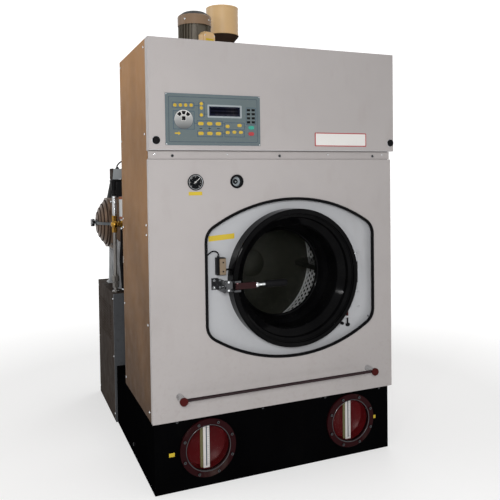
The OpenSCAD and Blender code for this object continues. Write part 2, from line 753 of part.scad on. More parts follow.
/* ---- latch and interlock ---- */
latch_z = door_z - 7;
latch_x = axis_x - ring_r;                 // the ring's left side
pivot_x = latch_x + 8;
pivot_y = face_y - 41;
ring_face = face_y - ring_out;
module latch_keeper() {
    x0 = latch_x - 49;
    y0 = face_y - 55;
    color("#c3c4c2") {
        difference() {
            union() {
                slab(x0, x0 + 6, y0 + 12, plate_y, latch_z - 25, latch_z + 25);
                along_x(x0, y0 + 25, latch_z) cylinder(r = 25, h = 6);
            }
            slab(x0 - 1, x0 + 7, y0 - 10, ring_face + 1, latch_z - 7, latch_z + 7);
        }
        slab(x0 - 24, x0, plate_y - 4, plate_y, latch_z - 25, latch_z + 25);
    }
}
module latch_block() {
    color("#8f8377") {
        slab(latch_x - 36, latch_x + 20, ring_face - 14, ring_face, latch_z - 23, latch_z + 23);
        for (z = [latch_z - 23, latch_z + 15])
            slab(latch_x - 6, latch_x + 20, pivot_y - 11, ring_face - 13, z, z + 8);
    }
    color("#b8babc") {
        translate([pivot_x, pivot_y, latch_z - 22]) cylinder(r = 5, h = 44);
        along_x(latch_x - 52, ring_face - 7, latch_z) cylinder(r = 5, h = 17);
    }
}
module latch_lever() {
    y0 = pivot_y - 8;
    color("#6b4a3c") difference() {
        union() {
            translate([pivot_x, pivot_y, latch_z - 14.5]) cylinder(r = 11, h = 29);
            slab(pivot_x, pivot_x + 86, y0, y0 + 14, latch_z - 13, latch_z + 13);
        }
        translate([pivot_x, pivot_y, latch_z - 20]) cylinder(r = 5 + run, h = 40);
    }
    color("#c8cacc") along_x(pivot_x + 80, y0 + 7, latch_z) cylinder(r = 6, h = 45);
    color("#131314") along_x(pivot_x + 124, y0 + 7, latch_z) cylinder(r = 14, h = 98);
}
switch_l = ex(284);
switch_z = door_z + 33;
plunger_z = switch_z + 20;
module interlock_switch() {
    color("#161617") difference() {
        slab(switch_l, switch_l + 38, plate_y - 30, plate_y, switch_z, switch_z + 72);
        along_x(switch_l + 20, plate_y - 15, plunger_z) cylinder(r = 4 + run, h = 30);
    }
    color("#b49c7c")
        slab(switch_l + 13, switch_l + 37, plate_y - 34, plate_y - 29, switch_z + 8, switch_z + 60);
    color("#17171a") translate([switch_l + 10, plate_y - 15, switch_z + 71]) cylinder(r = 5.5, h = 9);
}
module interlock_plunger() {
    tip = axis_x - sqrt(pow(ring_r, 2) - pow(plunger_z - door_z, 2));
    x0 = switch_l + 26;
    color("#202022") along_x(x0, plate_y - 15, plunger_z) cylinder(r = 4, h = tip - 1.2 - x0);
}
cable_x = 236;
cable_z = 960;
module switch_cable() {
    x = switch_l + 10;
    y = plate_y - 15;
    z = switch_z + 80;
    x1 = ex(cable_x);
    color("#141415") tube_along(smooth([[x, y, z], [x, y, z + 4], [x, y, z + 8], [x - 9, y, z + 18],
        [x - 26, y, z + 20], [x - 44, y + 1, z + 8], [x1 + 2, y + 6, cable_z + 6],
        [x1, plate_y, cable_z], [x1, plate_y + 14, cable_z]], 4), 3, [1, 0, 0]);
}

/* ---- roof ---- */
fan_cx = ex(fan_x);
fan_cy = dy(fan_depth);
cowl_z = roof_z + fan_h - 64;
tb_z = roof_z + 22;                        // foot of the terminal box
box_r = 71;                                // where the terminal box starts, from the fan's axis
module fan_motor() {
    color("#5b6064") translate([fan_cx, fan_cy, 0]) difference() {
        union() {
            translate([0, 0, roof_z]) cylinder(r = 90, h = 12);
            translate([0, 0, roof_z]) cylinder(r = 64, h = cowl_z + 4 - roof_z);
            // fins all round, but not behind the terminal box
            for (i = [0 : 29]) if (i < 23 || i > 25)
                rotate([0, 0, i * 12]) translate([60, -1.5, roof_z + 12])
                    cube([14, 3, cowl_z - roof_z - 12]);
            rotate([0, 0, -70]) translate([50, -28, tb_z + 3]) cube([box_r - 50, 56, 44]);
        }
        translate([0, 0, roof_z - 1]) cylinder(r = fan_shaft_r, h = 60);
    }
}
module fan_cowl() {
    r = cowl_r;
    color("#b7b0a4") translate([fan_cx, fan_cy, cowl_z]) rotate_extrude() polygon([[0, 4], [r - 3, 4],
        [r - 3, 0], [r, 0], [r, 41], [r - 3, 45], [r - 24, 60], [r - 32, 63], [0, 64]]);
}
module fan_terminal_box() {
    color("#c2b59f") translate([fan_cx, fan_cy, tb_z]) rotate([0, 0, -70]) {
        translate([box_r, 0, 0]) rotate([90, 0, 90]) linear_extrude(34)
            polygon([[-33, 0], [33, 0], [33, 50], [21, 64], [-21, 64], [-33, 50]]);
        translate([box_r + 34, 0, 3]) rotate([90, 0, 90]) linear_extrude(5)
            polygon([[-30, 0], [30, 0], [30, 46], [20, 58], [-20, 58], [-30, 46]]);
    }
}
fan_shaft_r = 10;
fan_top = roof_z - 70;                     // top of the impeller
module fan_wheel() {
    color("#7d8287") translate([fan_cx, fan_cy, 0]) {
        translate([0, 0, fan_top - 80]) cylinder(r = fan_shaft_r - run, h = roof_z + 50 - fan_top + 80);
        translate([0, 0, fan_top - 84]) cylinder(r = 110, h = 4);
        translate([0, 0, fan_top - 4]) ring(110, 60, 4);
        for (i = [0 : 11]) rotate([0, 0, i * 30]) translate([30, -1.5, fan_top - 84]) cube([78, 3, 84]);
    }
}
module vent_canister() {
    z1 = roof_z + vent_h;
    z0 = z1 - 138;
    r = vent_r;
    foot = roof_z + 4;
    color("#d9c7a0") translate([ex(vent_x), dy(vent_depth), 0]) rotate_extrude()
        polygon([[45, roof_z], [62, roof_z], [62, foot], [48, foot], [48, z0 - 38], [r, z0], [r, z1 - 2],
            [r - 2, z1], [0, z1], [0, z1 - 3], [r - 8, z1 - 3], [r - 3, z0 + 2], [45, z0 - 36]]);
}

/* ---- still ---- */
head_x = ex(head_tip);
lid_x = ex(20);                            // plane of the still's door
mouth = lid_r - 15;
// Radius of the head's ellipse at a distance from its tip
function head_r(v) = still_r * sqrt(1 - pow((head_len - v) / head_len, 2));
lid_in = lid_x - head_x;
len_v = ex(760) - head_x;                  // from the head's tip to the vessel's far end
// The vessel's outside from the door's plane to its far end, grown by g, as a solid
function head_line(g) = [for (i = [0 : 10]) let (v = lid_in + (head_len - lid_in) * i / 10)
    [max(head_r(v), lid_r - 2) + g, v]];
module still_solid(g) {
    along_x(head_x, case_y, still_z) rotate_extrude($fn = 96)
        polygon(concat([[0, lid_in]], head_line(g), [[still_r + g, len_v], [0, len_v]]));
}
module still_vessel() {
    inner = [for (i = [10 : -1 : 0]) let (v = lid_in + (head_len - lid_in) * i / 10)
        [max(mouth, head_r(v) - still_wall - 1), v]];
    end = len_v - still_wall;
    color("#a59a90") {
        along_x(head_x, case_y, still_z) rotate_extrude($fn = 96) polygon(concat(head_line(0),
            [[still_r, len_v], [0, len_v], [0, end], [still_r - still_wall, end]], inner));
        // lugs and pin of the door's hinge, at the rear
        for (z = [still_z - 30, still_z + 10.5])
            slab(lid_x - 2, lid_x + 40, yoke_y - 8, yoke_y + 8, z, z + 19.5);
        difference() {
            slab(lid_x + 30, lid_x + 60, case_y + 120, yoke_y + 8, still_z - 30, still_z + 30);
            still_solid(-2);
        }
        translate([yoke_x, yoke_y, still_z - 30]) cylinder(r = 5, h = 60);
    }
    color("#b9bcbe") for (x = [ex(62), ex(640)], s = [-1, 1]) difference() {
        plate_leg(x, s);
        still_solid(-1);
    }
}
module plate_leg(x, s) {
    y = case_y + s * 115;
    translate([x, y + 15, 0]) rotate([90, 0, 0]) linear_extrude(30)
        polygon([[-22, case_top + 6], [22, case_top + 6], [13, still_z - 60], [-13, still_z - 60]]);
    slab(x - 32, x + 32, y - 26, y + 26, case_top, case_top + 6);
}
yoke_x = lid_x + 8;
yoke_y = case_y + lid_r + 26;
function bow_line(g, d) = [for (i = [0 : 16]) let (a = 180 + d * (90 - i * 11.25))
    [(lid_in + g) * cos(a), (yoke_y - case_y + g) * sin(a)]];
module still_door() {
    rim = lid_in - seam;
    edge = lid_in - 10;
    shell = [for (i = [0 : 12]) let (v = edge * (1 - cos(7.5 * i))) [head_r(v), v]];
    color("#a89c92") difference() {
        along_x(head_x, case_y, still_z) rotate_extrude($fn = 96)
            polygon(concat(shell, [[lid_r, edge], [lid_r, rim], [0, rim]]));
        screw_hole();
    }
    color("#4a4644") difference() {
        union() {
            // bow over the dome, from its free end round to the hinge
            translate([lid_x, case_y, still_z - 7]) linear_extrude(14)
                polygon(concat(bow_line(4, 1), bow_line(-8, -1)));
            translate([yoke_x, yoke_y, still_z - 10]) cylinder(r = 12, h = 20);
        }
        translate([yoke_x, yoke_y, still_z - 20]) cylinder(r = 5 + run, h = 40);
        screw_hole();
    }
}
module screw_hole() {
    along_x(head_x - 10, case_y, still_z) cylinder(r = 6 + run, h = 19);
}
module still_door_knob() {
    color("#6d6a68") along_x(head_x - 26, case_y, still_z) difference() {
        union() {
            cylinder(r = 22, h = 20);
            cylinder(r = 6, h = 33);
        }
        for (i = [0 : 7]) rotate([0, 0, i * 45]) translate([25, 0, -1]) cylinder(r = 5, h = 22, $fn = 24);
    }
}
neck_x = ex(128);
neck_r = 86;                               // at the neck's top
neck_z = still_z + still_r;
module still_neck() {
    color("#131315") translate([neck_x, case_y, 0]) difference() {
        union() {
            translate([0, 0, neck_z - 45]) cylinder(r1 = neck_r + 21, r2 = neck_r, h = 101);
            translate([0, 0, neck_z + 56]) cylinder(r = neck_r, h = 2.6);
        }
        translate([-neck_x, -case_y, 0]) still_solid(0);
    }
}
box_z = neck_z + 58.6;
module sensor_box() {
    color("#9a948a") {
        slab(neck_x - 82, neck_x - 76, case_y - 45, case_y + 45, box_z, box_z + 62);
        slab(neck_x - 76, neck_x - 10, case_y - 45, case_y + 45, box_z, box_z + 60);
        along_y(neck_x + 14, case_y - 40, box_z + 32) cylinder(r = 32, h = 80);
    }
}
module sensor_cable() {
    z = box_z + 60;
    y = case_y - 20;
    x0 = neck_x - 50;
    x1 = neck_x + 44;
    color("#141415") tube_along(smooth([[x0, y, z], [x0, y, z + 7], [x0 + 1, y, z + 20],
        [neck_x - 24, y - 5, z + 42], [neck_x + 26, y - 22, z + 42], [neck_x + 54, y - 60, z + 2],
        [x1 + 8, y - 110, z - 80], [x1, case_y - 220, z - 150], [x1, case_y - 300, z - 160],
        [x1, side_y + 120, z - 160], [x1, side_y, z - 160]], 5), 4, [1, 0, 0]);
}

/* ---- pipework ---- */
pipe_x = ex(23);
pipe_y = case_y - 220;
valve_z = rear_h + 367;
module drain_pipe() {
    color("#9b9ea0") translate([pipe_x, pipe_y, 0]) {
        translate([0, 0, rear_h]) cylinder(r = 20, h = 8);
        translate([0, 0, rear_h]) cylinder(r = 9, h = valve_z - 44 - rear_h);
        translate([0, 0, rear_h + 26]) cylinder(r = 17, h = 26, $fn = 6);
        translate([0, 0, rear_h + 56]) cylinder(r = 19, h = 30, $fn = 6);
        translate([0, 0, rear_h + 86]) cylinder(r = 14, h = 10);
        along_y(0, 0, rear_h + 40) cylinder(r = 9, h = 40);
    }
}
module brass_valve() {
    color("#b8903c") translate([pipe_x, pipe_y, valve_z]) {
        translate([0, 0, -44]) cylinder(r = 14, h = 26, $fn = 6);
        translate([0, 0, -20]) cylinder(r = 12, h = 40);
        sphere(r = 21);
        translate([0, 0, 18]) cylinder(r = 14, h = 29, $fn = 6);
        along_x(0, 0, 0) cylinder(r = 11, h = 24);
        along_x(18, 0, 0) cylinder(r = 15, h = hose_x - pipe_x - 18, $fn = 6);
    }
}
tube_z = valve_z + 47;
tube_len = 97;
module sensor_tube() {
    color("#dfe1e3") translate([pipe_x, pipe_y, 0]) {
        translate([0, 0, tube_z]) cylinder(r = 8, h = 8);
        translate([0, 0, tube_z + 8]) cylinder(r = 11, h = tube_len);
    }
    // cap, stem and plug
    color("#17171a") translate([pipe_x, pipe_y, tube_z + 8 + tube_len]) {
        cylinder(r = 13, h = 14);
        cylinder(r = 5, h = 40);
        translate([0, 0, 32]) cylinder(r1 = 13, r2 = 16, h = 46);
    }
}
hose_x = pipe_x + 28;                      // where the hose's tee meets the valve
module drain_hose() {
    x = hose_x + 12;
    color("#c8c4bc") translate([x, pipe_y, valve_z]) {
        translate([0, 0, 14]) cylinder(r = 9, h = 12);
        translate([0, 0, 26]) cylinder(r = 14, h = 122);
    }
    color("#24242a") tube_along(smooth([[x, pipe_y, valve_z - 4], [x, pipe_y, valve_z - 40],
        [x - 2, pipe_y + 3, valve_z - 110], [x - 7, pipe_y + 4, valve_z - 190],
        [x - 4, pipe_y + 2, valve_z - 262], [x, pipe_y, rear_h + 36], [x, pipe_y, rear_h + 18],
        [x, pipe_y, rear_h]], 4), 10, [1, 0, 0]);
    color("#b8903c") {
        along_x(hose_x, pipe_y, valve_z) cylinder(r = 13, h = 23);
        translate([x, pipe_y, valve_z]) cylinder(r = 10.5, h = 18);
    }
}

base_tank();
rear_casing();
rear_casing_front();
cabinet_frame();
side_panel_left();
side_panel_right();
rear_panel();
roof_panel();
cross_rail();
lower_front_panel();
cutout_edging();
housing_front_plate();
drum_housing();
bearing_housing();
shaft_bearings();
drive_belt();
drive_motor();
hinge_bracket();
latch_keeper();
interlock_switch();
switch_cable();
handrail();
sight_flanges();
sight_glasses();
gauge_case();
port_collar();
fan_motor();
fan_cowl();
fan_terminal_box();
vent_canister();
still_vessel();
still_neck();
sensor_box();
sensor_cable();
drain_pipe();
brass_valve();
sensor_tube();
drain_hose();
front_screws();
drum();
drum_front();
drum_pulley();
motor_pulley();
door_ring();
door_bowl();
door_glass();
latch_block();
latch_lever();
interlock_plunger();
upper_front_panel();
control_panel();
lcd_window();
lock_left();
lock_right();
gauge_needle();
still_door();
still_door_knob();
fan_wheel();
start_key();
stop_key();
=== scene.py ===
import bpy
import bmesh
import math
from mathutils import Matrix, Vector


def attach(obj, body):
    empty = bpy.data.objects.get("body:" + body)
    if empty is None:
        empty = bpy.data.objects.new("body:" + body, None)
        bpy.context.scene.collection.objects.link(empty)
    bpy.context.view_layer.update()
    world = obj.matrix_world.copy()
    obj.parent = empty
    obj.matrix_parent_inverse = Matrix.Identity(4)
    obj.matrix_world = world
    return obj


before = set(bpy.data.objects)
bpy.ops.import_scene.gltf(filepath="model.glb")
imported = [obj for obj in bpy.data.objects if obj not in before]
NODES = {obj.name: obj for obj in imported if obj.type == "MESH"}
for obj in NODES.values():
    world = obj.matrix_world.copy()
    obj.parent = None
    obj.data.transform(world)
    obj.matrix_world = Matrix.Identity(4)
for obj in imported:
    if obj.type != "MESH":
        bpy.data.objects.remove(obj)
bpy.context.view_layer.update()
SCENE = bpy.context.scene


def place(name, data):
    """An object with this data, linked to the scene."""
    o = bpy.data.objects.new(name, data)
    SCENE.collection.objects.link(o)
    return o


# ---------------------------------------------------------------- camera
cam = place("camera", bpy.data.cameras.new("camera"))
cam.matrix_world = Matrix((  # columns: right, up, back, place
    (0.919871, 0.02399, -0.391487, -1.126063),
    (-0.392008, 0.023345, -0.919665, -3.156564),
    (-0.012924, 0.99944, 0.030878, 1.294835),
    (0, 0, 0, 1)))
cam.data.sensor_width = 36
cam.data.lens = 44.403
cam.data.shift_x, cam.data.shift_y = -0.02184, -0.1053
cam.data.clip_start, cam.data.clip_end = 0.05, 100
SCENE.camera = cam

# ---------------------------------------------------------------- places, in millimetres
FRONT, REAR, RIGHT, LEFT, UP, DOWN = (0, -1, 0), (0, 1, 0), (1, 0, 0), (-1, 0, 0), (0, 0, 1), (0, 0, -1)
SIDE = 575.0                        # x of the cabinet's and the casing's right side
BACK, ROOF = -145.0, 1859.0         # the cabinet's back and roof
CASING_BACK = 700.0
PANEL, FACE = -748.0, -745.0        # front faces of the control panel and the upper front panel
LOWER, BASE, PLATE = -720.0, -700.0, -690.0     # of the lower front panel, the base, the plate in the cut-out
DOOR_X, DOOR_Z = 67.0, 858.0        # axis of the door and the drum
DOOR = (DOOR_X, 0, DOOR_Z)
MOTOR_Z = 415.0                     # axis of the drive motor, below the drum's
GRIP_Y, GRIP_Z = -787.0, 851.0      # axis of the latch lever's grip
SIGHTS = {"left": -339, "right": 353}
SIGHT_Z = 166
FAN_X, FAN_Y = -289, -445           # axis of the fan motor on the roof
CAN_X, CAN_Y = -83, -245            # axis of the canister
STILL_Y, STILL_Z = 435.0, 1056.0    # axis of the still
NECK_X = -447                       # axis of its neck
DOME_X, DOME_DEEP, DOME_R = -622, 200, 185      # its door: outermost point, half axes of the dome
HOSE_X, HOSE_Y = -512, 215


def ex(v):
    """X of a distance from the cabinet's left side."""
    return v - SIDE


# ---------------------------------------------------------------- materials
def rgb(code):
    """Linear colour of a hex string."""
    v = [int(code[i:i + 2], 16) / 255 for i in (1, 3, 5)]
    return tuple(x / 12.92 if x <= 0.04045 else ((x + 0.055) / 1.055) ** 2.4 for x in v) + (1.0,)


def shade(c, by, plus=0.0):
    """A linear colour made darker or lighter, at most white."""
    return tuple(min(1, x * by + plus) for x in c[:3]) + (1,)


def fresh(owner):
    """The emptied node tree of a material or a world."""
    owner.use_nodes = True
    owner.node_tree.nodes.clear()
    return owner.node_tree


def shader(tree, kind, inputs=(), **settings):
    """Adds a shader node, with its settings and constants on its sockets."""
    n = tree.nodes.new("ShaderNode" + kind)
    for k, v in settings.items():
        setattr(n, k, v)
    for k, v in dict(inputs).items():
        n.inputs[k].default_value = v
    return n


class Mat:
    """A procedural material. Its patterns are in metres, in the object's frame."""

    def __init__(self, name, rough, metal=0.0, spec=0.5, coat=0.0, alpha=1.0):
        self.m = bpy.data.materials.new(name)
        self.nt = fresh(self.m)
        self.rough = rough
        self.p = self.new("BsdfPrincipled", {
            "Roughness": rough, "Metallic": metal, "Specular IOR Level": spec, "Coat Weight": coat,
            "Coat Roughness": 0.05, "Alpha": alpha})
        self.link(self.p.outputs[0], self.new("OutputMaterial").inputs[0])
        self.obj = self.new("TexCoord").outputs["Object"]

    def new(self, kind, inputs=(), **settings):
        return shader(self.nt, kind, inputs, **settings)

    def link(self, a, b):
        self.nt.links.new(a, b)

    def put(self, socket, v):
        """Links an output to a socket, or sets the socket to a constant."""
        if hasattr(v, "is_linked"):
            self.link(v, socket)
        else:
            socket.default_value = v

    def noise(self, scale, detail=3.0, stretch=(1, 1, 1)):
        mapping = self.new("Mapping", {"Scale": stretch})
        self.link(self.obj, mapping.inputs["Vector"])
        n = self.new("TexNoise", {"Scale": scale, "Detail": detail, "Roughness": 0.55})
        self.link(mapping.outputs[0], n.inputs["Vector"])
        return n.outputs["Fac"]

    def ramp(self, v, lo, hi, a=0.0, b=1.0):
        """Maps lo..hi to a..b, and holds the ends."""
        n = self.new("MapRange", {"From Min": lo, "From Max": hi, "To Min": a, "To Max": b}, clamp=True)
        self.put(n.inputs["Value"], v)
        return n.outputs[0]

    def mix(self, f, a, b):
        n = self.new("Mix", data_type="RGBA")
        for socket, v in ((0, f), (6, a), (7, b)):
            self.put(n.inputs[socket], v)
        return n.outputs[2]

    def math(self, op, a, b=0.0):
        n = self.new("Math", operation=op)
        self.put(n.inputs[0], a)
        self.put(n.inputs[1], b)
        return n.outputs[0]

    def plus(self, a, b):
        return self.math("ADD", a, b)

    def minus(self, a, b):
        return self.math("SUBTRACT", a, b)

    def times(self, a, b):
        return self.math("MULTIPLY", a, b)

    def hypot(self, a, b):
        return self.math("SQRT", self.plus(self.times(a, a), self.times(b, b)))

    def axis(self, k):
        n = self.new("SeparateXYZ")
        self.link(self.obj, n.inputs[0])
        return n.outputs[k]

    def bump(self, height, strength, distance):
        n = self.new("Bump", {"Strength": strength, "Distance": distance})
        self.link(height, n.inputs["Height"])
        self.link(n.outputs[0], self.p.inputs["Normal"])

    def colour(self, v):
        self.put(self.p.inputs["Base Color"], v)

    def roughness(self, f, spread):
        """Lets the roughness drift by the spread to both sides."""
        lo, hi = max(self.rough - spread, 0.02), min(self.rough + spread, 1.0)
        self.link(self.ramp(f, 0.3, 0.7, lo, hi), self.p.inputs["Roughness"])


def paint(name, base, rough=0.35, vary=0.05, dirt=None, dirt_amount=0.35, coat=0.15, peel=0.12, spec=0.5, low=None):
    """Sprayed paint: slow colour drift, faint orange peel, smudges, soiling low down, and painted shade there if low
    is given.
    """
    m = Mat(name, rough, 0.0, spec, coat)
    c = rgb(base)
    slow = m.noise(3.1, 4)
    col = m.mix(m.ramp(slow, 0.3, 0.7), shade(c, 1 - vary * 1.6), shade(c, 1 + vary))
    # painted shade: towards the bottom the colour turns to the low colour
    if low:
        col = m.mix(m.ramp(m.plus(m.axis(2), m.times(slow, 0.5)), 2.1, 0.5), col, rgb(low))
    smudge = m.ramp(m.noise(11, 6, (1, 1, 0.45)), 0.56, 0.72)
    col = m.mix(m.times(smudge, 0.10), col, rgb(dirt or "#8f867c"))
    if dirt:
        near_floor = m.ramp(m.axis(2), 0.9, 0.25)
        fleck = m.ramp(m.noise(60, 5), 0.52, 0.75)
        col = m.mix(m.times(m.times(near_floor, fleck), dirt_amount), col, rgb(dirt))
    m.colour(col)
    m.roughness(m.noise(14, 4), 0.07)
    m.bump(m.noise(900, 2), peel, 0.0004)
    return m.m


def steel(name, base, rough, along, vary, scale, grime):
    """Brushed or drawn metal: fine streaks along one axis, with duller patches."""
    m = Mat(name, rough, 1.0)
    c = rgb(base)
    streak = m.noise(scale, 3, along)
    col = m.mix(m.ramp(streak, 0.35, 0.65), shade(c, 1 - vary), c)
    patch = m.ramp(m.noise(9, 5), 0.5, 0.72)
    m.colour(m.mix(m.times(patch, grime), col, shade(c, 0.45)))
    m.roughness(streak, 0.1)
    m.bump(streak, 0.08, 0.0003)
    return m.m


def plastic(name, base, rough, grain, vary, peel, coat=0.0, metal=0.0, spec=0.5):
    """Moulded plastic, rubber or cast metal: fine leather-like grain, handled patches, and flecks, few on black."""
    m = Mat(name, rough, metal, spec, coat)
    c = rgb(base)
    col = m.mix(m.ramp(m.noise(7, 4), 0.3, 0.7), shade(c, 1 - vary), shade(c, 1 + vary, 0.002))
    fleck = m.ramp(m.noise(130, 3), 0.6, 0.74)
    m.colour(m.mix(m.times(fleck, 0.10 if sum(c[:3]) > 0.1 else 0.012), col, rgb("#a49c90")))
    m.roughness(m.noise(24, 4), 0.08 if spec > 0.3 else 0.03)
    m.bump(m.noise(grain, 3), peel, 0.0005)
    return m.m


def glass(name, tint, alpha, spec):
    """Thin tinted glass with faint wiped streaks."""
    m = Mat(name, 0.03, 0.0, spec, 0.0, alpha)
    c = rgb(tint)
    wipe = m.noise(7, 5, (1, 1, 3))
    m.colour(m.mix(m.ramp(wipe, 0.45, 0.75), c, shade(c, 1.6, 0.02)))
    m.roughness(wipe, 0.02)
    return m.m


def drum_metal(name, dull, bright, rough, metal):
    """Drum sheet: steel, with staggered rows of pressed holes round the shell; painted shade in the holes, painted
    highlights round them.
    """
    pitch, row_step, hole_row_r = 0.028, 0.866, 0.327
    m = Mat(name, rough, metal)
    x = m.minus(m.axis(0), DOOR_X / 1000)
    z = m.minus(m.axis(2), DOOR_Z / 1000)
    y = m.axis(1)
    # a place among the holes, in pitches: u and v from the nearest hole's middle, d its distance
    around = m.times(m.math("ARCTAN2", z, x), hole_row_r / pitch)
    depth = m.math("DIVIDE", y, pitch * row_step)
    row = m.math("FLOOR", depth)
    odd = m.times(m.math("MODULO", m.math("ABSOLUTE", row), 2.0), 0.5)
    u = m.minus(m.math("FRACT", m.plus(m.plus(around, odd), 200.0)), 0.5)
    v = m.times(m.minus(m.minus(depth, row), 0.5), row_step)
    d = m.hypot(u, v)
    behind_mouth = m.ramp(y, -0.650, -0.648)
    before_back = m.ramp(y, -0.232, -0.230, 1.0, 0.0)
    on_shell = m.times(m.times(m.ramp(m.hypot(x, z), 0.318, 0.320), behind_mouth), before_back)
    # painted shade: the holes are painted near black
    holes = m.times(m.ramp(d, 0.27, 0.31, 1.0, 0.0), on_shell)
    # painted highlight: a ring round each hole is painted near white
    rim_highlights = m.times(m.ramp(d, 0.36, 0.44, 1.0, 0.0), on_shell)
    wear = m.noise(40, 4, (1, 0.05, 1))
    col = m.mix(m.ramp(wear, 0.3, 0.7), rgb(dull), rgb(bright))
    m.colour(m.mix(holes, m.mix(rim_highlights, col, rgb("#f4f5f5")), rgb("#070708")))
    m.link(m.mix(holes, (rough, rough, rough, 1), (0.9, 0.9, 0.9, 1)), m.p.inputs["Roughness"])
    # the metal between the holes is pressed up in low ridges
    ridge = m.times(m.ramp(d, 0.3, 0.56), on_shell)
    m.bump(m.plus(m.times(wear, 0.03), ridge), 0.9, 0.004)
    return m.m


def disc_print():
    """The key disc's print: light grey at its top, darker towards its foot."""
    m = Mat("print_grey_disc", 0.4)
    col = m.mix(m.ramp(m.axis(2), 1.568, 1.498), rgb("#b9bab8"), rgb("#3a3d3f"))
    grain = m.ramp(m.noise(300, 2), 0.4, 0.6)
    m.colour(m.mix(m.times(grain, 0.05), col, rgb("#5d6468")))
    m.roughness(m.noise(30, 3), 0.05)
    return m.m


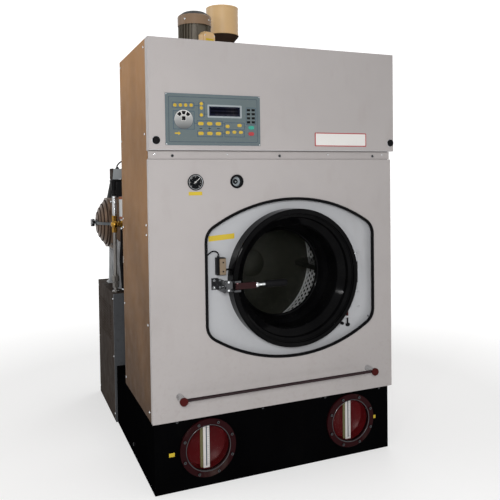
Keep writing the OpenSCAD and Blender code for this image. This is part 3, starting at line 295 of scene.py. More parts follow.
MATERIALS = {
    "white": paint("paint_white", "#a9a4a3", 0.36, 0.025, dirt="#877b70", dirt_amount=0.2, coat=0.0, spec=0.2),
    # painted light: the sides have the front's pale paint; this warm brown stands for warm light they reflect, and
    # the low colour is painted shade
    "side": paint("paint_side_painted_light", "#b38961", 0.45, 0.07, dirt="#4f4339", dirt_amount=0.4, coat=0.0, spec=0.01,
                  low="#433327"),
    "light": paint("paint_light_grey", "#adaeb1", 0.38, 0.03, dirt="#857d74", dirt_amount=0.15, spec=0.3),
    "black": paint("paint_black_gloss", "#060607", 0.2, 0.2, dirt="#15130f", dirt_amount=0.06, coat=0.0, peel=0.05,
                   spec=0.0),
    "door": plastic("door_black_gloss", "#050506", 0.09, 500, 0.15, 0.03, spec=0.035),
    "rubber": plastic("rubber_black", "#08080a", 0.45, 600, 0.2, 0.3, spec=0.04),
    "matt": plastic("plastic_black", "#0c0c0e", 0.45, 800, 0.15, 0.3, spec=0.05),
    "brown": paint("paint_brown", "#332a24", 0.5, 0.12, dirt="#1e1916", dirt_amount=0.4, coat=0.0, spec=0.005),
    "greyblue": paint("paint_grey_blue", "#4b4d50", 0.45, 0.08, dirt="#2c2926", dirt_amount=0.4, coat=0.0,
                      spec=0.02),
    "frame": paint("paint_frame_grey", "#77797b", 0.5, 0.06, dirt="#4d4943"),
    "bracket": steel("bracket_steel", "#a7a9ab", 0.38, (0.05, 1, 30), 0.12, 40, 0.2),
    "tub": steel("steel_tub", "#9c9fa1", 0.36, (30, 1, 30), 0.12, 12, 0.3),
    "turned": steel("steel_turned", "#a9abad", 0.25, (1, 60, 1), 0.12, 30, 0.2),
    "chrome": steel("chrome", "#cdd0d2", 0.09, (0.3, 1, 20), 0.05, 24, 0.08),
    # painted reflection: chrome made darker, in part standing for the dark surroundings its parts reflect
    "dark": steel("chrome_with_painted_dark_reflection", "#4c4d4f", 0.14, (0.3, 1, 20), 0.1, 24, 0.2),
    # painted reflection: the rail is chrome; its dark red-brown colour stands for the dark room it reflects
    "rail": steel("rail_chrome_painted_dark_red_reflection", "#33282a", 0.14, (0.3, 1, 20), 0.1, 24, 0.15),
    "pipe": steel("steel_pipe", "#6b6865", 0.34, (30, 30, 1), 0.15, 10, 0.35),
    "brass": steel("brass", "#94702f", 0.25, (1, 1, 30), 0.15, 18, 0.35),
    "cast": plastic("cast_grey", "#484c4f", 0.5, 380, 0.12, 0.6, metal=0.6),
    "fan": plastic("fan_casting", "#4b453a", 0.45, 420, 0.14, 0.5, metal=0.35),
    "motor": paint("motor_blue", "#3f5a66", 0.42, 0.08, dirt="#2c2a28"),
    "cowl": paint("cowl_beige", "#7f6954", 0.38, 0.08, dirt="#5d5346", spec=0.12),
    "cream": paint("paint_cream", "#c9a878", 0.38, 0.07, dirt="#7d6643"),
    "still": steel("still_sheet", "#5a4a3e", 0.42, (1, 20, 1), 0.2, 14, 0.45),
    # painted reflection: the lever is chrome; its dark burgundy colour stands for the dark red surroundings it
    # reflects
    "painted_reflection_chrome": steel("lever_chrome_with_painted_burgundy_reflection", "#2f1e1f", 0.14, (1, 1, 20), 0.2, 22, 0.3),
    "alu": steel("aluminium", "#a4a6a8", 0.42, (20, 1, 1), 0.1, 20, 0.3),
    "red": paint("paint_deep_red", "#260a0d", 0.2, 0.12, coat=0.0, peel=0.2, spec=0.05),
    "redwell": paint("paint_well_red", "#560a0e", 0.35, 0.2, coat=0.0, peel=0.2, spec=0.1),
    "darkred": plastic("cap_dark_red", "#40100f", 0.3, 500, 0.1, 0.15, spec=0.06),
    "yellow": plastic("label_yellow", "#bda31a", 0.45, 900, 0.05, 0.1),
    "lamp": plastic("lamp_yellow", "#b3951f", 0.25, 900, 0.1, 0.05, coat=0.2),
    "label": plastic("label_white", "#d9d7d4", 0.4, 900, 0.03, 0.1),
    "redline": plastic("print_red", "#9e2226", 0.4, 900, 0.05, 0.1),
    "orange": plastic("band_orange", "#8f4a22", 0.45, 500, 0.15, 0.3),
    "panel": plastic("panel_blue_grey", "#5c686d", 0.4, 900, 0.04, 0.15, spec=0.15),
    "membrane": plastic("membrane_pale", "#5f6a6c", 0.4, 1200, 0.04, 0.12, spec=0.1),
    "print": plastic("print_dark", "#2a3a48", 0.4, 900, 0.08, 0.1),
    "printblue": plastic("print_blue", "#33485c", 0.42, 900, 0.06, 0.1, spec=0.1),
    "lcd": paint("lcd_navy", "#0f1224", 0.12, 0.15, coat=0.0, peel=0.02, spec=0.06),
    "cells": plastic("lcd_cells", "#1c2136", 0.2, 900, 0.05, 0.02, spec=0.06),
    "key": plastic("key_black", "#0a0c0e", 0.35, 900, 0.1, 0.12, spec=0.08),
    "green": plastic("key_green", "#1f8f7c", 0.32, 900, 0.06, 0.1),
    "keyred": plastic("key_red", "#9c1a22", 0.32, 900, 0.06, 0.1),
    "dial": plastic("dial_dark", "#0c0e10", 0.4, 900, 0.08, 0.08, spec=0.04),
    "seal": plastic("seal_grey", "#8b9296", 0.5, 700, 0.1, 0.3),
    "pale": plastic("tube_pale", "#c9cccd", 0.35, 700, 0.06, 0.2),
    "beige": plastic("cover_beige", "#75644f", 0.5, 500, 0.1, 0.3),
    "olive": plastic("strip_olive", "#5b5a34", 0.5, 500, 0.12, 0.3),
    "glass": glass("door_glass", "#0c0e07", 0.07, 0.04),
    "clear": glass("sight_glass", "#4a1a1d", 0.05, 0.05),
    "gaugeglass": glass("gauge_glass", "#14171a", 0.03, 0.04),
    "disc": disc_print(),
    "drum": drum_metal("drum_steel_shell", "#e3e5e5", "#f7f8f8", 0.3, 0.25),
    # painted shade: the drum's back and hub cap are steel, painted near black for the shade deep inside the drum
    "drum_back_painted_shade": drum_metal("drum_steel_back_painted_shade", "#15160f", "#23241a", 0.5, 0.5),
}

LOOK = {
    "base_tank": "black", "rear_casing": "brown", "rear_casing_front": "greyblue", "cabinet_frame": "frame",
    "side_panel_left": "side", "side_panel_right": "side", "rear_panel": "side", "roof_panel": "side",
    "cross_rail": "white", "lower_front_panel": "white", "upper_front_panel": "white", "cutout_edging": "rubber",
    "housing_front_plate": "light", "drum_housing": "tub", "bearing_housing": "cast", "shaft_bearings": "turned",
    "drive_belt": "rubber", "drive_motor": "motor", "drum_pulley": "cast", "motor_pulley": "cast",
    "latch_keeper": "dark", "latch_block": "dark", "interlock_plunger": "matt", "switch_cable": "rubber",
    "sight_flanges": "red", "sight_glasses": "clear", "fan_motor": "fan", "fan_cowl": "cowl",
    "fan_terminal_box": "cream", "fan_wheel": "alu", "vent_canister": "cream", "still_neck": "matt",
    "still_door_knob": "dark", "sensor_cable": "rubber", "drain_pipe": "pipe", "brass_valve": "brass",
    "front_screws": "dark", "drum_front": "drum", "door_ring": "door", "door_bowl": "door", "door_glass": "glass",
    "control_panel": "panel", "lcd_window": "lcd", "lock_left": "matt", "lock_right": "matt",
    "gauge_needle": "label", "start_key": "green", "stop_key": "keyred",
}


def drum_r(x, z):
    """Distance from the drum's axis."""
    return math.hypot(x - DOOR_X, z - DOOR_Z)


# nodes of several materials: the first, then others with a test on a face's middle (mm), of which the last holds
MIXED_LOOK = {
    "handrail": ("rail", ("darkred", lambda x, y, z: y < -782.9), ("chrome", lambda x, y, z: y > -764)),
    "hinge_bracket": ("light", ("matt", lambda x, y, z: z < 640 and x < 362 and y < -694),
                      ("darkred", lambda x, y, z: 655 < z < 720 and x < 353)),
    "sensor_tube": ("turned", ("matt", lambda x, y, z: z > 1208.5)),
    "sensor_box": ("seal", ("brown", lambda x, y, z: x < -522.5)),
    "latch_lever": ("painted_reflection_chrome", ("chrome", lambda x, y, z: -141.5 < x < -104),
                    ("matt", lambda x, y, z: x > -104.1)),
    "interlock_switch": ("matt", ("beige", lambda x, y, z: y < -720.5 and z < 965)),
    "drain_hose": ("pale", ("rubber", lambda x, y, z: z < 1043.8), ("brass", lambda x, y, z: 1043.8 <= z < 1076)),
    "still_door": ("still", ("cast", lambda x, y, z: abs(z - STILL_Z) < 12.5 and
                             ((x + 555) / 60) ** 2 + ((y - STILL_Y) / 159) ** 2 > 0.98)),
    "still_vessel": ("still", ("alu", lambda x, y, z: z < 1020 and abs(y - STILL_Y) > 84 and
                               math.hypot(y - STILL_Y, z - STILL_Z) > 187 or z < 870),
                     ("cast", lambda x, y, z: y > 592 and x < -520)),
    "port_collar": ("matt", ("seal", lambda x, y, z: y > -704 and math.hypot(x + 199, z - 1283) > 10.5)),
    # painted shade: the lifters take dark chrome and the back near black paint, for the shade inside the drum
    "drum": ("drum", ("dark", lambda x, y, z: drum_r(x, z) < 312), ("drum_back_painted_shade", lambda x, y, z: y > -218),
             ("turned", lambda x, y, z: y > -209 and drum_r(x, z) < 60)),
    "gauge_case": ("matt", ("dark", lambda x, y, z: y < -721 and math.hypot(x + 381, z - 1282) > 28)),
}


def dress(node, looks, tests=()):
    """Gives a node its materials. The first covers it, and each test picks the faces of the next."""
    me = NODES[node].data
    me.materials.clear()
    for k in looks:
        me.materials.append(MATERIALS[k])
    for p in me.polygons:
        p.material_index = 0
        for i, test in enumerate(tests, 1):
            if test(*(1000 * c for c in p.center)):
                p.material_index = i


for name, look in LOOK.items():
    dress(name, [look])
for name, (look, *others) in MIXED_LOOK.items():
    dress(name, [look] + [k for k, _ in others], [test for _, test in others])


def round_edges(o, width):
    """Bevels an object's sharp edges by a width in millimetres."""
    b = o.modifiers.new("bevel", "BEVEL")
    b.width, b.segments = width / 1000, 2
    b.limit_method, b.angle_limit = "ANGLE", math.radians(40)
    b.harden_normals = True


def soften(node, width):
    """Rounds a CAD node's edges a little. The weld joins its faces first."""
    NODES[node].modifiers.new("weld", "WELD").merge_threshold = 0.00002
    round_edges(NODES[node], width)


# ---------------------------------------------------------------- mesh pieces, in millimetres
class Piece:
    """A mesh that rides on a body. Faces are added to it, and done() puts it in the scene."""

    def __init__(self, name, mat, body, bevel=0.0):
        self.name, self.mat, self.body, self.bevel = name, mat, body, bevel
        self.bm = bmesh.new()

    def faces(self, pts, faces):
        v = [self.bm.verts.new(Vector(p) / 1000) for p in pts]
        for f in faces:
            self.bm.faces.new([v[i] for i in f])

    def box(self, x0, x1, y0, y1, z0, z1):
        p = [(x, y, z) for x in (x0, x1) for y in (y0, y1) for z in (z0, z1)]
        self.faces(p, [(0, 1, 3, 2), (4, 6, 7, 5), (0, 4, 5, 1), (2, 3, 7, 6), (0, 2, 6, 4), (1, 5, 7, 3)])

    def prism(self, outline, y0, y1):
        """An outline in XZ from y0 to y1."""
        n = len(outline)
        ends = [tuple(range(n)), tuple(range(2 * n - 1, n - 1, -1))]
        self.faces([(x, y, z) for y in (y0, y1) for x, z in outline],
                   ends + [(i, i + n, (i + 1) % n + n, (i + 1) % n) for i in range(n)])

    def frame(self, outer, inner, y0, y1):
        """A flat ring between two outlines of equal length in XZ."""
        n = len(outer)
        quads = []
        for i in range(n):
            j = (i + 1) % n
            quads += [(i, j, n + j, n + i), (2 * n + i, 3 * n + i, 3 * n + j, 2 * n + j),
                      (i, 2 * n + i, 2 * n + j, j), (n + i, n + j, 3 * n + j, 3 * n + i)]
        self.faces([(x, y, z) for y in (y0, y1) for o in (outer, inner) for x, z in o], quads)

    def rev(self, o, axis, prof, n):
        """Turns a line of (radius, distance along the axis) round the axis through o, in n steps."""
        axis = Vector(axis).normalized()
        u = axis.orthogonal().normalized()
        w = axis.cross(u)
        o = Vector(o)
        pts, rows = [], []
        for r, t in prof:
            start = len(pts)
            if r == 0:
                rows.append([start] * n)
                pts.append(o + axis * t)
            else:
                rows.append(range(start, start + n))
                pts += [o + axis * t + (u * c + w * s) * r for c, s in turns(n, 0)]
        quads = []
        for a, b in zip(rows, rows[1:]):
            for k in range(n):
                j = (k + 1) % n
                corners = [a[k], a[j], b[j], b[k]]
                quads.append([v for h, v in enumerate(corners) if v not in corners[:h]])
        self.faces(pts, [q for q in quads if len(q) > 2])

    def loop(self, pts, r, n):
        """A round tube of n sides along a closed line of points."""
        pts = [Vector(p) for p in pts]
        m = len(pts)
        rim, side = [], None
        for i in range(m):
            t = (pts[(i + 1) % m] - pts[i - 1]).normalized()
            side = t.orthogonal().normalized() if side is None else (side - t * side.dot(t)).normalized()
            w = t.cross(side)
            rim += [pts[i] + (side * c + w * s) * r for c, s in turns(n, 0)]
        self.faces(rim, [(i * n + k, i * n + (k + 1) % n, j * n + (k + 1) % n, j * n + k)
                         for i in range(m) for j in [(i + 1) % m] for k in range(n)])

    def hexagon(self, o, axis, r, t):
        """A hexagon head of height t on the point o, pointing along the axis."""
        self.rev(o, axis, [(0, 0), (r, 0), (r, t * 0.82), (r * 0.86, t), (0, t)], 6)

    def screw(self, x, y, z, r, axis=FRONT):
        """A low pan head on a surface, with a dished drive recess."""
        self.rev((x, y, z), axis, [(r, 0), (r, r * 0.2), (r * 0.85, r * 0.42), (r * 0.45, r * 0.5),
                                   (r * 0.38, r * 0.2), (0, r * 0.16)], 20)

    def louvre(self, spot, ends, z, out, height):
        """A pressed louvre. spot gives x and y of an end and a distance out of the sheet."""
        self.faces([(*spot(e, d), h) for d, h in ((0, z), (out, z + 3), (0, z + height)) for e in ends],
                   [(0, 1, 3, 2), (2, 3, 5, 4), (0, 2, 4), (1, 5, 3)])

    def done(self, slot):
        bmesh.ops.recalc_face_normals(self.bm, faces=self.bm.faces)
        me = bpy.data.meshes.new(self.name)
        self.bm.to_mesh(me)
        self.bm.free()
        me.shade_smooth()
        me.set_sharp_from_angle(angle=math.radians(35))
        me.materials.append(MATERIALS[self.mat])
        o = place(self.name, me)
        if self.bevel:
            round_edges(o, self.bevel)
        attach(o, self.body)


def turned(name, mat, body, bevel, slot, o, axis, prof, n):
    """A piece turned from one profile."""
    p = Piece(name, mat, body, bevel)
    p.rev(o, axis, prof, n)
    p.done(slot)


def turns(n, start):
    """Cosine and sine of n even directions round a circle, from a start angle in degrees."""
    return [(math.cos(a), math.sin(a)) for a in (math.radians(start + 360 * k / n) for k in range(n))]


def arc(cx, cz, r, a0, a1, n):
    """The points of an arc in XZ, in n steps between two angles in degrees."""
    angles = [math.radians(a0 + (a1 - a0) * k / n) for k in range(n + 1)]
    return [(cx + r * math.cos(a), cz + r * math.sin(a)) for a in angles]


def rrect(x0, x1, z0, z1, r, n=5):
    """A rectangle with round corners, in XZ."""
    corners = (x1 - r, z1 - r, 0), (x0 + r, z1 - r, 90), (x0 + r, z0 + r, 180), (x1 - r, z0 + r, 270)
    return [q for cx, cz, a in corners for q in arc(cx, cz, r, a, a + 90, n)]


def pad(x, z, a, b, r, n=5):
    """A rectangle with round corners, by its middle and half its sides."""
    return rrect(x - a, x + a, z - b, z + b, r, n)


# ---------------------------------------------------------------- control panel
def cp(u, v):
    """X and z of a place on the control panel, from a measure in which its top edge slants."""
    s = (u - 195) / 1240
    top = 165 + 40 * s
    return ex(66 + 409 * s), 1640 - 208 * (v - top) / (845 - top)


X0, X1, Z0, Z1 = ex(66), ex(475), 1432, 1640    # the panel's edges
p = Piece("panel_membrane", "membrane", "upper_panel")
# in strips, which leave the window and the two keys free
for x0, x1, z0, z1 in ((72, 247, 1438, 1634), (247, 387, 1438, 1550), (247, 387, 1594, 1634), (387, 420, 1438, 1634),
                       (448, 469, 1438, 1634), (420, 448, 1438, 1473.5), (420, 448, 1490.5, 1499.5),
                       (420, 448, 1516.5, 1634)):
    p.box(ex(x0), ex(x1), PANEL - 0.35, PANEL, z0, z1)
p.done("panel_blue")
p = Piece("panel_outline", "print", "upper_panel")
p.frame(rrect(X0 + 12.5, X1 - 12.5, Z0 + 12.5, Z1 - 12.5, 5), rrect(X0 + 15, X1 - 15, Z0 + 15, Z1 - 15, 4),
        PANEL - 0.5, PANEL)
p.done("panel_blue")
p = Piece("panel_window_rim", "seal", "upper_panel")
p.frame(rrect(ex(242), ex(392), 1545.5, 1598.5, 4), rrect(ex(249), ex(385), 1552, 1592, 2), PANEL - 0.6, PANEL)
p.done("panel_blue")
p = Piece("panel_mimic_lines", "printblue", "upper_panel")
LINE = PANEL - 0.5, PANEL - 0.2
for u0, u1, v0, v1 in ((280, 560, 285, 365), (615, 690, 285, 480), (590, 925, 520, 600), (590, 925, 655, 735),
                       (950, 1220, 545, 640), (950, 1220, 650, 735), (1240, 1375, 350, 575), (290, 560, 395, 640)):
    (xa, za), (xb, zb) = cp(u0, v0), cp(u1, v1)
    p.frame(rrect(xa, xb, zb, za, 3, 4), rrect(xa + 1.7, xb - 1.7, zb + 1.7, za - 1.7, 2.4, 4), *LINE)
for u0, v0, u1, v1 in ((560, 330, 615, 330), (690, 440, 740, 440), (925, 560, 950, 560), (925, 690, 950, 690),
                       (750, 600, 750, 655), (560, 560, 590, 560), (1220, 600, 1240, 600)):
    (xa, za), (xb, zb) = cp(u0, v0), cp(u1, v1)
    p.box(min(xa, xb) - 0.8, max(xa, xb) + 0.8, *LINE, min(za, zb) - 0.8, max(za, zb) + 0.8)
p.done("panel_blue")
p = Piece("panel_lamps", "lamp", "upper_panel", 0.3)
for u, v in ((315, 325), (385, 325), (450, 325), (520, 325), (650, 305), (650, 360), (650, 450)):
    p.prism(arc(*cp(u, v), 7.2, 0, 360, 28)[:-1], PANEL - 1.1, PANEL)
for u, v, a, b in ((640, 563, 12, 7), (755, 563, 12, 7), (868, 563, 12, 7), (640, 690, 12, 7), (755, 690, 12, 7),
                   (868, 690, 12, 7), (990, 595, 9, 7), (1150, 583, 10, 6.5), (990, 675, 9, 6.5),
                   (1080, 670, 9, 6.5), (1168, 672, 9, 6.5)):
    p.prism(pad(*cp(u, v), a, b, b * 0.98, 7), PANEL - 1.0, PANEL)
x, z = cp(345, 690)
ARROW = (-12, -3), (3, -3), (3, -8), (13, 0), (3, 8), (3, 3), (-12, 3)
p.prism([(x + dx, z + dz) for dx, dz in ARROW], PANEL - 1.0, PANEL)
p.done("panel_blue")

disc_x, disc_z = cp(423, 510)
turned("panel_key_disc", "disc", "upper_panel", 0.4, "panel_blue", (disc_x, PANEL, disc_z), FRONT,
       [(39, 0), (39, 0.7), (36, 1.1), (0, 1.5)], 48)
turned("panel_disc_rim", "print", "upper_panel", 0.0, "panel_blue", (disc_x, PANEL, disc_z), FRONT,
       [(40.4, 0), (40.4, 0.8), (38.8, 0.9), (38.8, 0)], 48)


def disc_keys(p, r0, r1, half, key, out):
    """Three keys between two radii on the disc's upper half, and one in its middle."""
    for a in (130, 90, 50):
        p.prism(arc(disc_x, disc_z, r1, a - half, a + half, 5) + arc(disc_x, disc_z, r0, a - half, a + half, 5)[::-1],
                PANEL - out, PANEL - 1.2)
    x0, x1, z0, z1, r = key
    p.prism(rrect(disc_x + x0, disc_x + x1, disc_z + z0, disc_z + z1, r), PANEL - out, PANEL - 1.2)
    p.done("panel_blue")


disc_keys(Piece("panel_disc_outlines", "label", "upper_panel"), 18.5, 36, 18.5, (-9, 9, -5, 14, 2), 1.9)
disc_keys(Piece("panel_disc_keys", "key", "upper_panel", 0.3), 20, 34.5, 15.5, (-7.8, 7.8, -3.8, 12.8, 1.5), 2.4)
p = Piece("panel_keys", "key", "upper_panel", 0.5)
for u in (1275, 1340):
    for v in (383, 435, 488, 540):
        p.prism(pad(*cp(u, v), 7.5, 4.8, 1.6), PANEL - 1.4, PANEL)
for u in (640, 755, 868):
    p.prism(pad(*cp(u, 625), 6, 1.2, 0.6), PANEL - 0.6, PANEL)
p.done("panel_blue")
p = Piece("lcd_cells", "cells", "upper_panel")
for z in (1575.5, 1562):
    for k in range(16):
        x = ex(256) + k * 7.7
        p.box(x, x + 5.6, -746.25, PANEL, z, z + 9.5)
p.done("lcd_dark")
p = Piece("panel_corner_screws", "chrome", "upper_panel")
for x in (X0 + 4, X1 - 4):
    for z in (Z0 + 4, Z1 - 4):
        p.screw(x, PANEL, z, 2.6)
p.done("panel_blue")

# ---------------------------------------------------------------- upper panel
p = Piece("blank_plate", "label", "upper_panel", 0.3)
p.prism(rrect(ex(739), ex(999), 1435, 1491, 2), FACE - 1.4, FACE)
p.done("panel_white")
p = Piece("blank_plate_border", "redline", "upper_panel")
p.frame(rrect(ex(737), ex(1001), 1433, 1493, 3), rrect(ex(741), ex(997), 1437, 1489, 1), FACE - 1.7, FACE)
p.done("panel_white")
p = Piece("upper_panel_seams", "bracket", "upper_panel", 0.3)
p.box(ex(3), ex(1147), FACE - 0.25, FACE + 1, 1413.5, 1415)
p.done("panel_white")
p = Piece("lock_rims", "bracket", "upper_panel", 0.3)
for x in (-547, 558):
    p.rev((x, FACE, 1451), FRONT, [(17.2, 0), (17.2, 0.8), (15.9, 1.3), (15.7, 0)], 40)
p.done("panel_white")

# ---------------------------------------------------------------- gauge and round fitting
GX, GZ, DIAL, BEZEL = ex(194), 1282, -722, -728
turned("gauge_dial", "dial", "machine", 0.0, "black_plastic", (GX, DIAL, GZ), FRONT,
       [(29.3, -0.1), (29.3, 0.5), (2.2, 0.5), (2.2, -0.1)], 48)
p = Piece("gauge_ticks", "label", "machine")
for k in range(31):
    a = math.radians(225 - 270 * k / 30)
    c, s = math.cos(a), math.sin(a)
    r0, w = (20, 0.5) if k % 5 == 0 else (23.5, 0.2)
    p.prism([(GX + c * r - s * t, GZ + s * r + c * t) for r, t in ((r0, w), (r0, -w), (26, -w), (26, w))],
            DIAL - 0.75, DIAL - 0.4)
p.done("black_plastic")
turned("gauge_bezel_ring", "matt", "machine", 0.3, "black_plastic", (GX, BEZEL, GZ), FRONT,
       [(33.2, -6), (33.4, -0.6), (32.2, 0.9), (30.4, 0.9), (29.3, -0.8), (29.3, -1.6)], 56)
turned("gauge_inner_ring", "chrome", "machine", 0.0, "black_plastic", (GX, BEZEL, GZ), FRONT,
       [(29.4, -0.2), (29.2, 0.3), (28.0, -0.5), (28.0, -1.0)], 56)
turned("gauge_window", "gaugeglass", "machine", 0.0, "clear_glass", (GX, BEZEL + 0.6, GZ), FRONT,
       [(29.2, -0.8), (29.2, 0.2), (15, 0.9), (0, 1.1), (0, 0.1), (29.2, -0.8)], 48)
p = Piece("gauge_label", "yellow", "machine", 0.1)
p.prism(rrect(ex(165), ex(223), 1228, 1243, 1), LOWER - 0.5, LOWER)
p.done("panel_white")
PORT_X, PORT_Z = ex(376), 1283
turned("port_lip", "rubber", "machine", 0.4, "black_plastic", (PORT_X, -724.5, PORT_Z), FRONT,
       [(28.6, -0.6), (28.4, 0.9), (26.5, 2.4), (23, 2.4), (21.2, 0.6), (21, -6)], 48)
turned("port_button", "seal", "machine", 0.3, "black_plastic", (PORT_X - 2, -711, PORT_Z - 1), FRONT,
       [(3.4, -0.5), (3.4, 1.2), (2.6, 1.9), (0, 2.1)], 24)

# ---------------------------------------------------------------- lower panel and cut-out
p = Piece("front_screw_recess", "matt", "machine")
for x in (101, 580, 1056):
    p.rev((ex(x), -715.0, 1391), FRONT, [(3.1, 0), (3.1, 0.35), (0, 0.35)], 6)
for x in (105, 490, 800, 1090):
    p.rev((ex(x), -703.0, 292), FRONT, [(2.6, 0), (2.6, 0.3), (0, 0.3)], 6)
p.done("steel")
p = Piece("strip_small_screws", "chrome", "machine")
for x in (1108, 30, 338, 820):
    p.screw(ex(x), -712, 1398, 3.5)
p.done("panel_white")


def barrel(inset):
    """The cut-out's outline, drawn in by an inset: bulged above and below, with round corners."""
    w, h, big, small = 412.5 - inset, 353 - inset, 691 - inset, 80 - inset
    mid_z = 857.0
    c = h - big
    kx = w - small
    ky = math.sqrt((big - small) ** 2 - kx * kx) + c
    a = math.degrees(math.atan2(ky - c, kx))
    return [q for ox, oz, r, a0, a1, n in (
        (kx, ky, small, 0, a, 8), (0, c, big, a, 180 - a, 30), (-kx, ky, small, 180 - a, 180, 8),
        (-kx, -ky, small, 180, 180 + a, 8), (0, -c, big, 180 + a, 360 - a, 30), (kx, -ky, small, 360 - a, 360, 8))
        for q in arc(DOOR_X + ox, mid_z + oz, r, a0, a1, n)[:-1]]


p = Piece("edging_bead", "rubber", "machine")
p.loop([(x, -723.2, z) for x, z in barrel(6)], 4.6, 12)
p.done("black_rubber")
p = Piece("plate_screws", "chrome", "machine")
for x, z in ((-330, 640), (-330, 1080), (465, 640), (465, 1080), (-230, 1180), (365, 1180), (-230, 540), (365, 540)):
    p.screw(x, PLATE, z, 5)
p.done("plate_light")
p = Piece("latch_label", "yellow", "machine", 0.1)
p.prism([(-318, 1031), (-202, 1039), (-202, 1062), (-318, 1054)], PLATE - 0.5, PLATE)
p.done("plate_light")
SWITCH = -724.8
p = Piece("switch_cover", "beige", "machine", 0.5)
p.box(-281, -254, SWITCH, -720, 892, 960)
p.done("black_plastic")
p = Piece("switch_screws", "matt", "machine")
for z in (906, 944):
    p.screw(-266, SWITCH, z, 3.4)
p.done("black_plastic")

# ---------------------------------------------------------------- door
turned("door_glass_seal", "door", "door", 0.0, "door_black", DOOR, REAR,
       [(203.2, -558.8), (204.5, -563.5), (201.5, -565.6), (196.8, -562.0), (196.6, -558.0)], 96)
p = Piece("door_step_rings", "door", "door")
p.rev(DOOR, REAR, [(236.4, -694.0), (234.2, -692.2), (233.2, -689.0), (234.6, -686.0)], 96)
p.rev(DOOR, REAR, [(281.5, -752.0), (278.6, -751.0), (277.0, -747.0), (278.8, -744.0)], 96)
p.done("door_black")
turned("door_edge_seal", "rubber", "machine", 0.0, "door_black", DOOR, REAR,
       [(272, -690.2), (272, -690.28), (268, -690.28), (268, -690.2)], 96)
p = Piece("hinge_screws", "light", "machine")
for x, z, r in ((412, 690, 6), (412, 760, 6), (412, 942, 6), (345, 664, 4), (345, 675, 4)):
    p.screw(x, -693, z, r)
p.done("strip_steel")
p = Piece("hinge_pin_caps", "chrome", "machine", 0.4)
for z, axis in ((944, UP), (772, DOWN)):
    p.rev((382, -715, z), axis, [(0, 0), (8.2, 0), (8.2, 2.2), (6.4, 3.8), (0, 4.2)], 28)
p.done("strip_steel")
p = Piece("lever_ribs", "matt", "latch_lever", 0.5)
for k in range(9):
    p.rev((-94 + k * 10, GRIP_Y, GRIP_Z), RIGHT, [(13.9, -2.2), (14.6, -1.2), (14.6, 1.2), (13.9, 2.2)], 32)
p.done("lever_bronze")
p = Piece("lever_collar", "chrome", "latch_lever", 0.4)
p.rev((-146, GRIP_Y, GRIP_Z), RIGHT, [(6, 0), (11, 0), (12, 2), (12, 8), (9, 11), (6, 12)], 32)
p.rev((-228, -786, 865.5), UP, [(5.2, 0), (8.6, 0), (8.6, 0.3), (5.2, 0.4)], 28)
p.done("lever_bronze")
p = Piece("latch_block_bolts", "chrome", "door", 0.3)
for z in (834, 868):
    p.hexagon((-262, -774, z), FRONT, 5.5, 4)
p.done("lever_bronze")
p = Piece("keeper_bolts", "chrome", "machine", 0.3)
for z in (836, 866):
    p.hexagon((-297, -694, z), FRONT, 6, 4.5)
p.done("strip_steel")

# ---------------------------------------------------------------- sight glasses
p = Piece("sight_inner_rings", "dark", "machine", 0.5)
for x in SIGHTS.values():
    p.rev((x, -714, SIGHT_Z), FRONT, [(99, 0), (99, 1.0), (98, 1.8), (96.5, 1.6), (95.2, 0.4), (95.2, -7.6)], 72)
p.done("sight_red")
p = Piece("sight_bolt_recess", "matt", "machine")
for x in SIGHTS.values():
    for c, s in turns(8, 22.5):
        p.rev((x + 112 * c, -720, SIGHT_Z + 112 * s), FRONT, [(3, 0), (3, 0.3), (0, 0.3)], 6)
p.done("chrome")
p = Piece("sight_chambers", "redwell", "machine")
for x in SIGHTS.values():
    p.rev((x, -695.2, SIGHT_Z), REAR, [(94.6, 0), (94.6, 46), (70, 66), (0, 74)], 64)
p.done("sight_red")
RULE = -690     # back of the level rules, behind the glasses
for tag, x in SIGHTS.items():
    p = Piece("level_rule_" + tag, "label", "machine", 0.4)
    p.prism(rrect(x - 17, x + 11, 74, 258, 2), RULE - 2, RULE)
    p.done("clear_glass")
    p = Piece("level_rule_marks_" + tag, "print", "machine")
    p.prism(rrect(x - 5.5, x - 0.5, 82, 250, 1.5), RULE - 2.4, RULE)
    for k in range(21):
        z = 88 + k * 7.8
        w = 8 if k % 5 == 0 else 5
        p.box(x + 9 - w, x + 9, RULE - 2.3, RULE - 2, z - 0.5, z + 0.5)
    p.done("clear_glass")
    p = Piece("level_strip_" + tag, "olive", "machine", 0.4)
    p.prism(rrect(x - 30, x - 18, 78, 254, 2), RULE - 1.5, RULE)
    p.done("clear_glass")
p = Piece("sight_labels", "yellow", "machine", 0.1)
for x0, x1, z1 in ((-506, -482, 167), (474, 496, 166)):
    p.prism(rrect(x0, x1, 151, z1, 1), BASE - 0.4, BASE)
p.done("black_gloss")

# ---------------------------------------------------------------- base and casings
BASE_SIDE = 566
p = Piece("base_seams", "black", "machine", 0.8)
for x in (-BASE_SIDE - 0.8, BASE_SIDE):
    p.box(x, x + 0.8, -640, 90, 20, 26)
p.done("black_gloss")
p = Piece("drain_plug", "matt", "machine", 0.5)
for x, axis in ((-BASE_SIDE, LEFT), (BASE_SIDE, RIGHT)):
    p.hexagon((x, -300, 60), axis, 9, 8)
p.done("black_gloss")
p = Piece("casing_louvres", "brown", "machine", 0.4)
for side in (-1, 1):
    for k in range(12):
        p.louvre(lambda y, d: (side * (SIDE + d), y), (260, 600), 420 + k * 16, 3.5, 9)
for k in range(14):
    p.louvre(lambda x, d: (x, CASING_BACK + d), (-330, 330), 380 + k * 16, 3.5, 9)
p.done("casing_brown")
p = Piece("casing_screws", "bracket", "machine")
for z in (40, 350, 660):
    for y in (178, 680):
        p.screw(-SIDE, y, z, 5, LEFT)
        p.screw(SIDE, y, z, 5, RIGHT)
    for x in (-550, 550):
        p.screw(x, CASING_BACK, z, 5, REAR)
p.done("casing_brown")
p = Piece("casing_edge_trim", "greyblue", "machine", 0.6)
for x in (-SIDE - 0.6, SIDE):
    p.box(x, x + 0.6, 155.5, 168, 2, 688)
p.done("casing_grey")

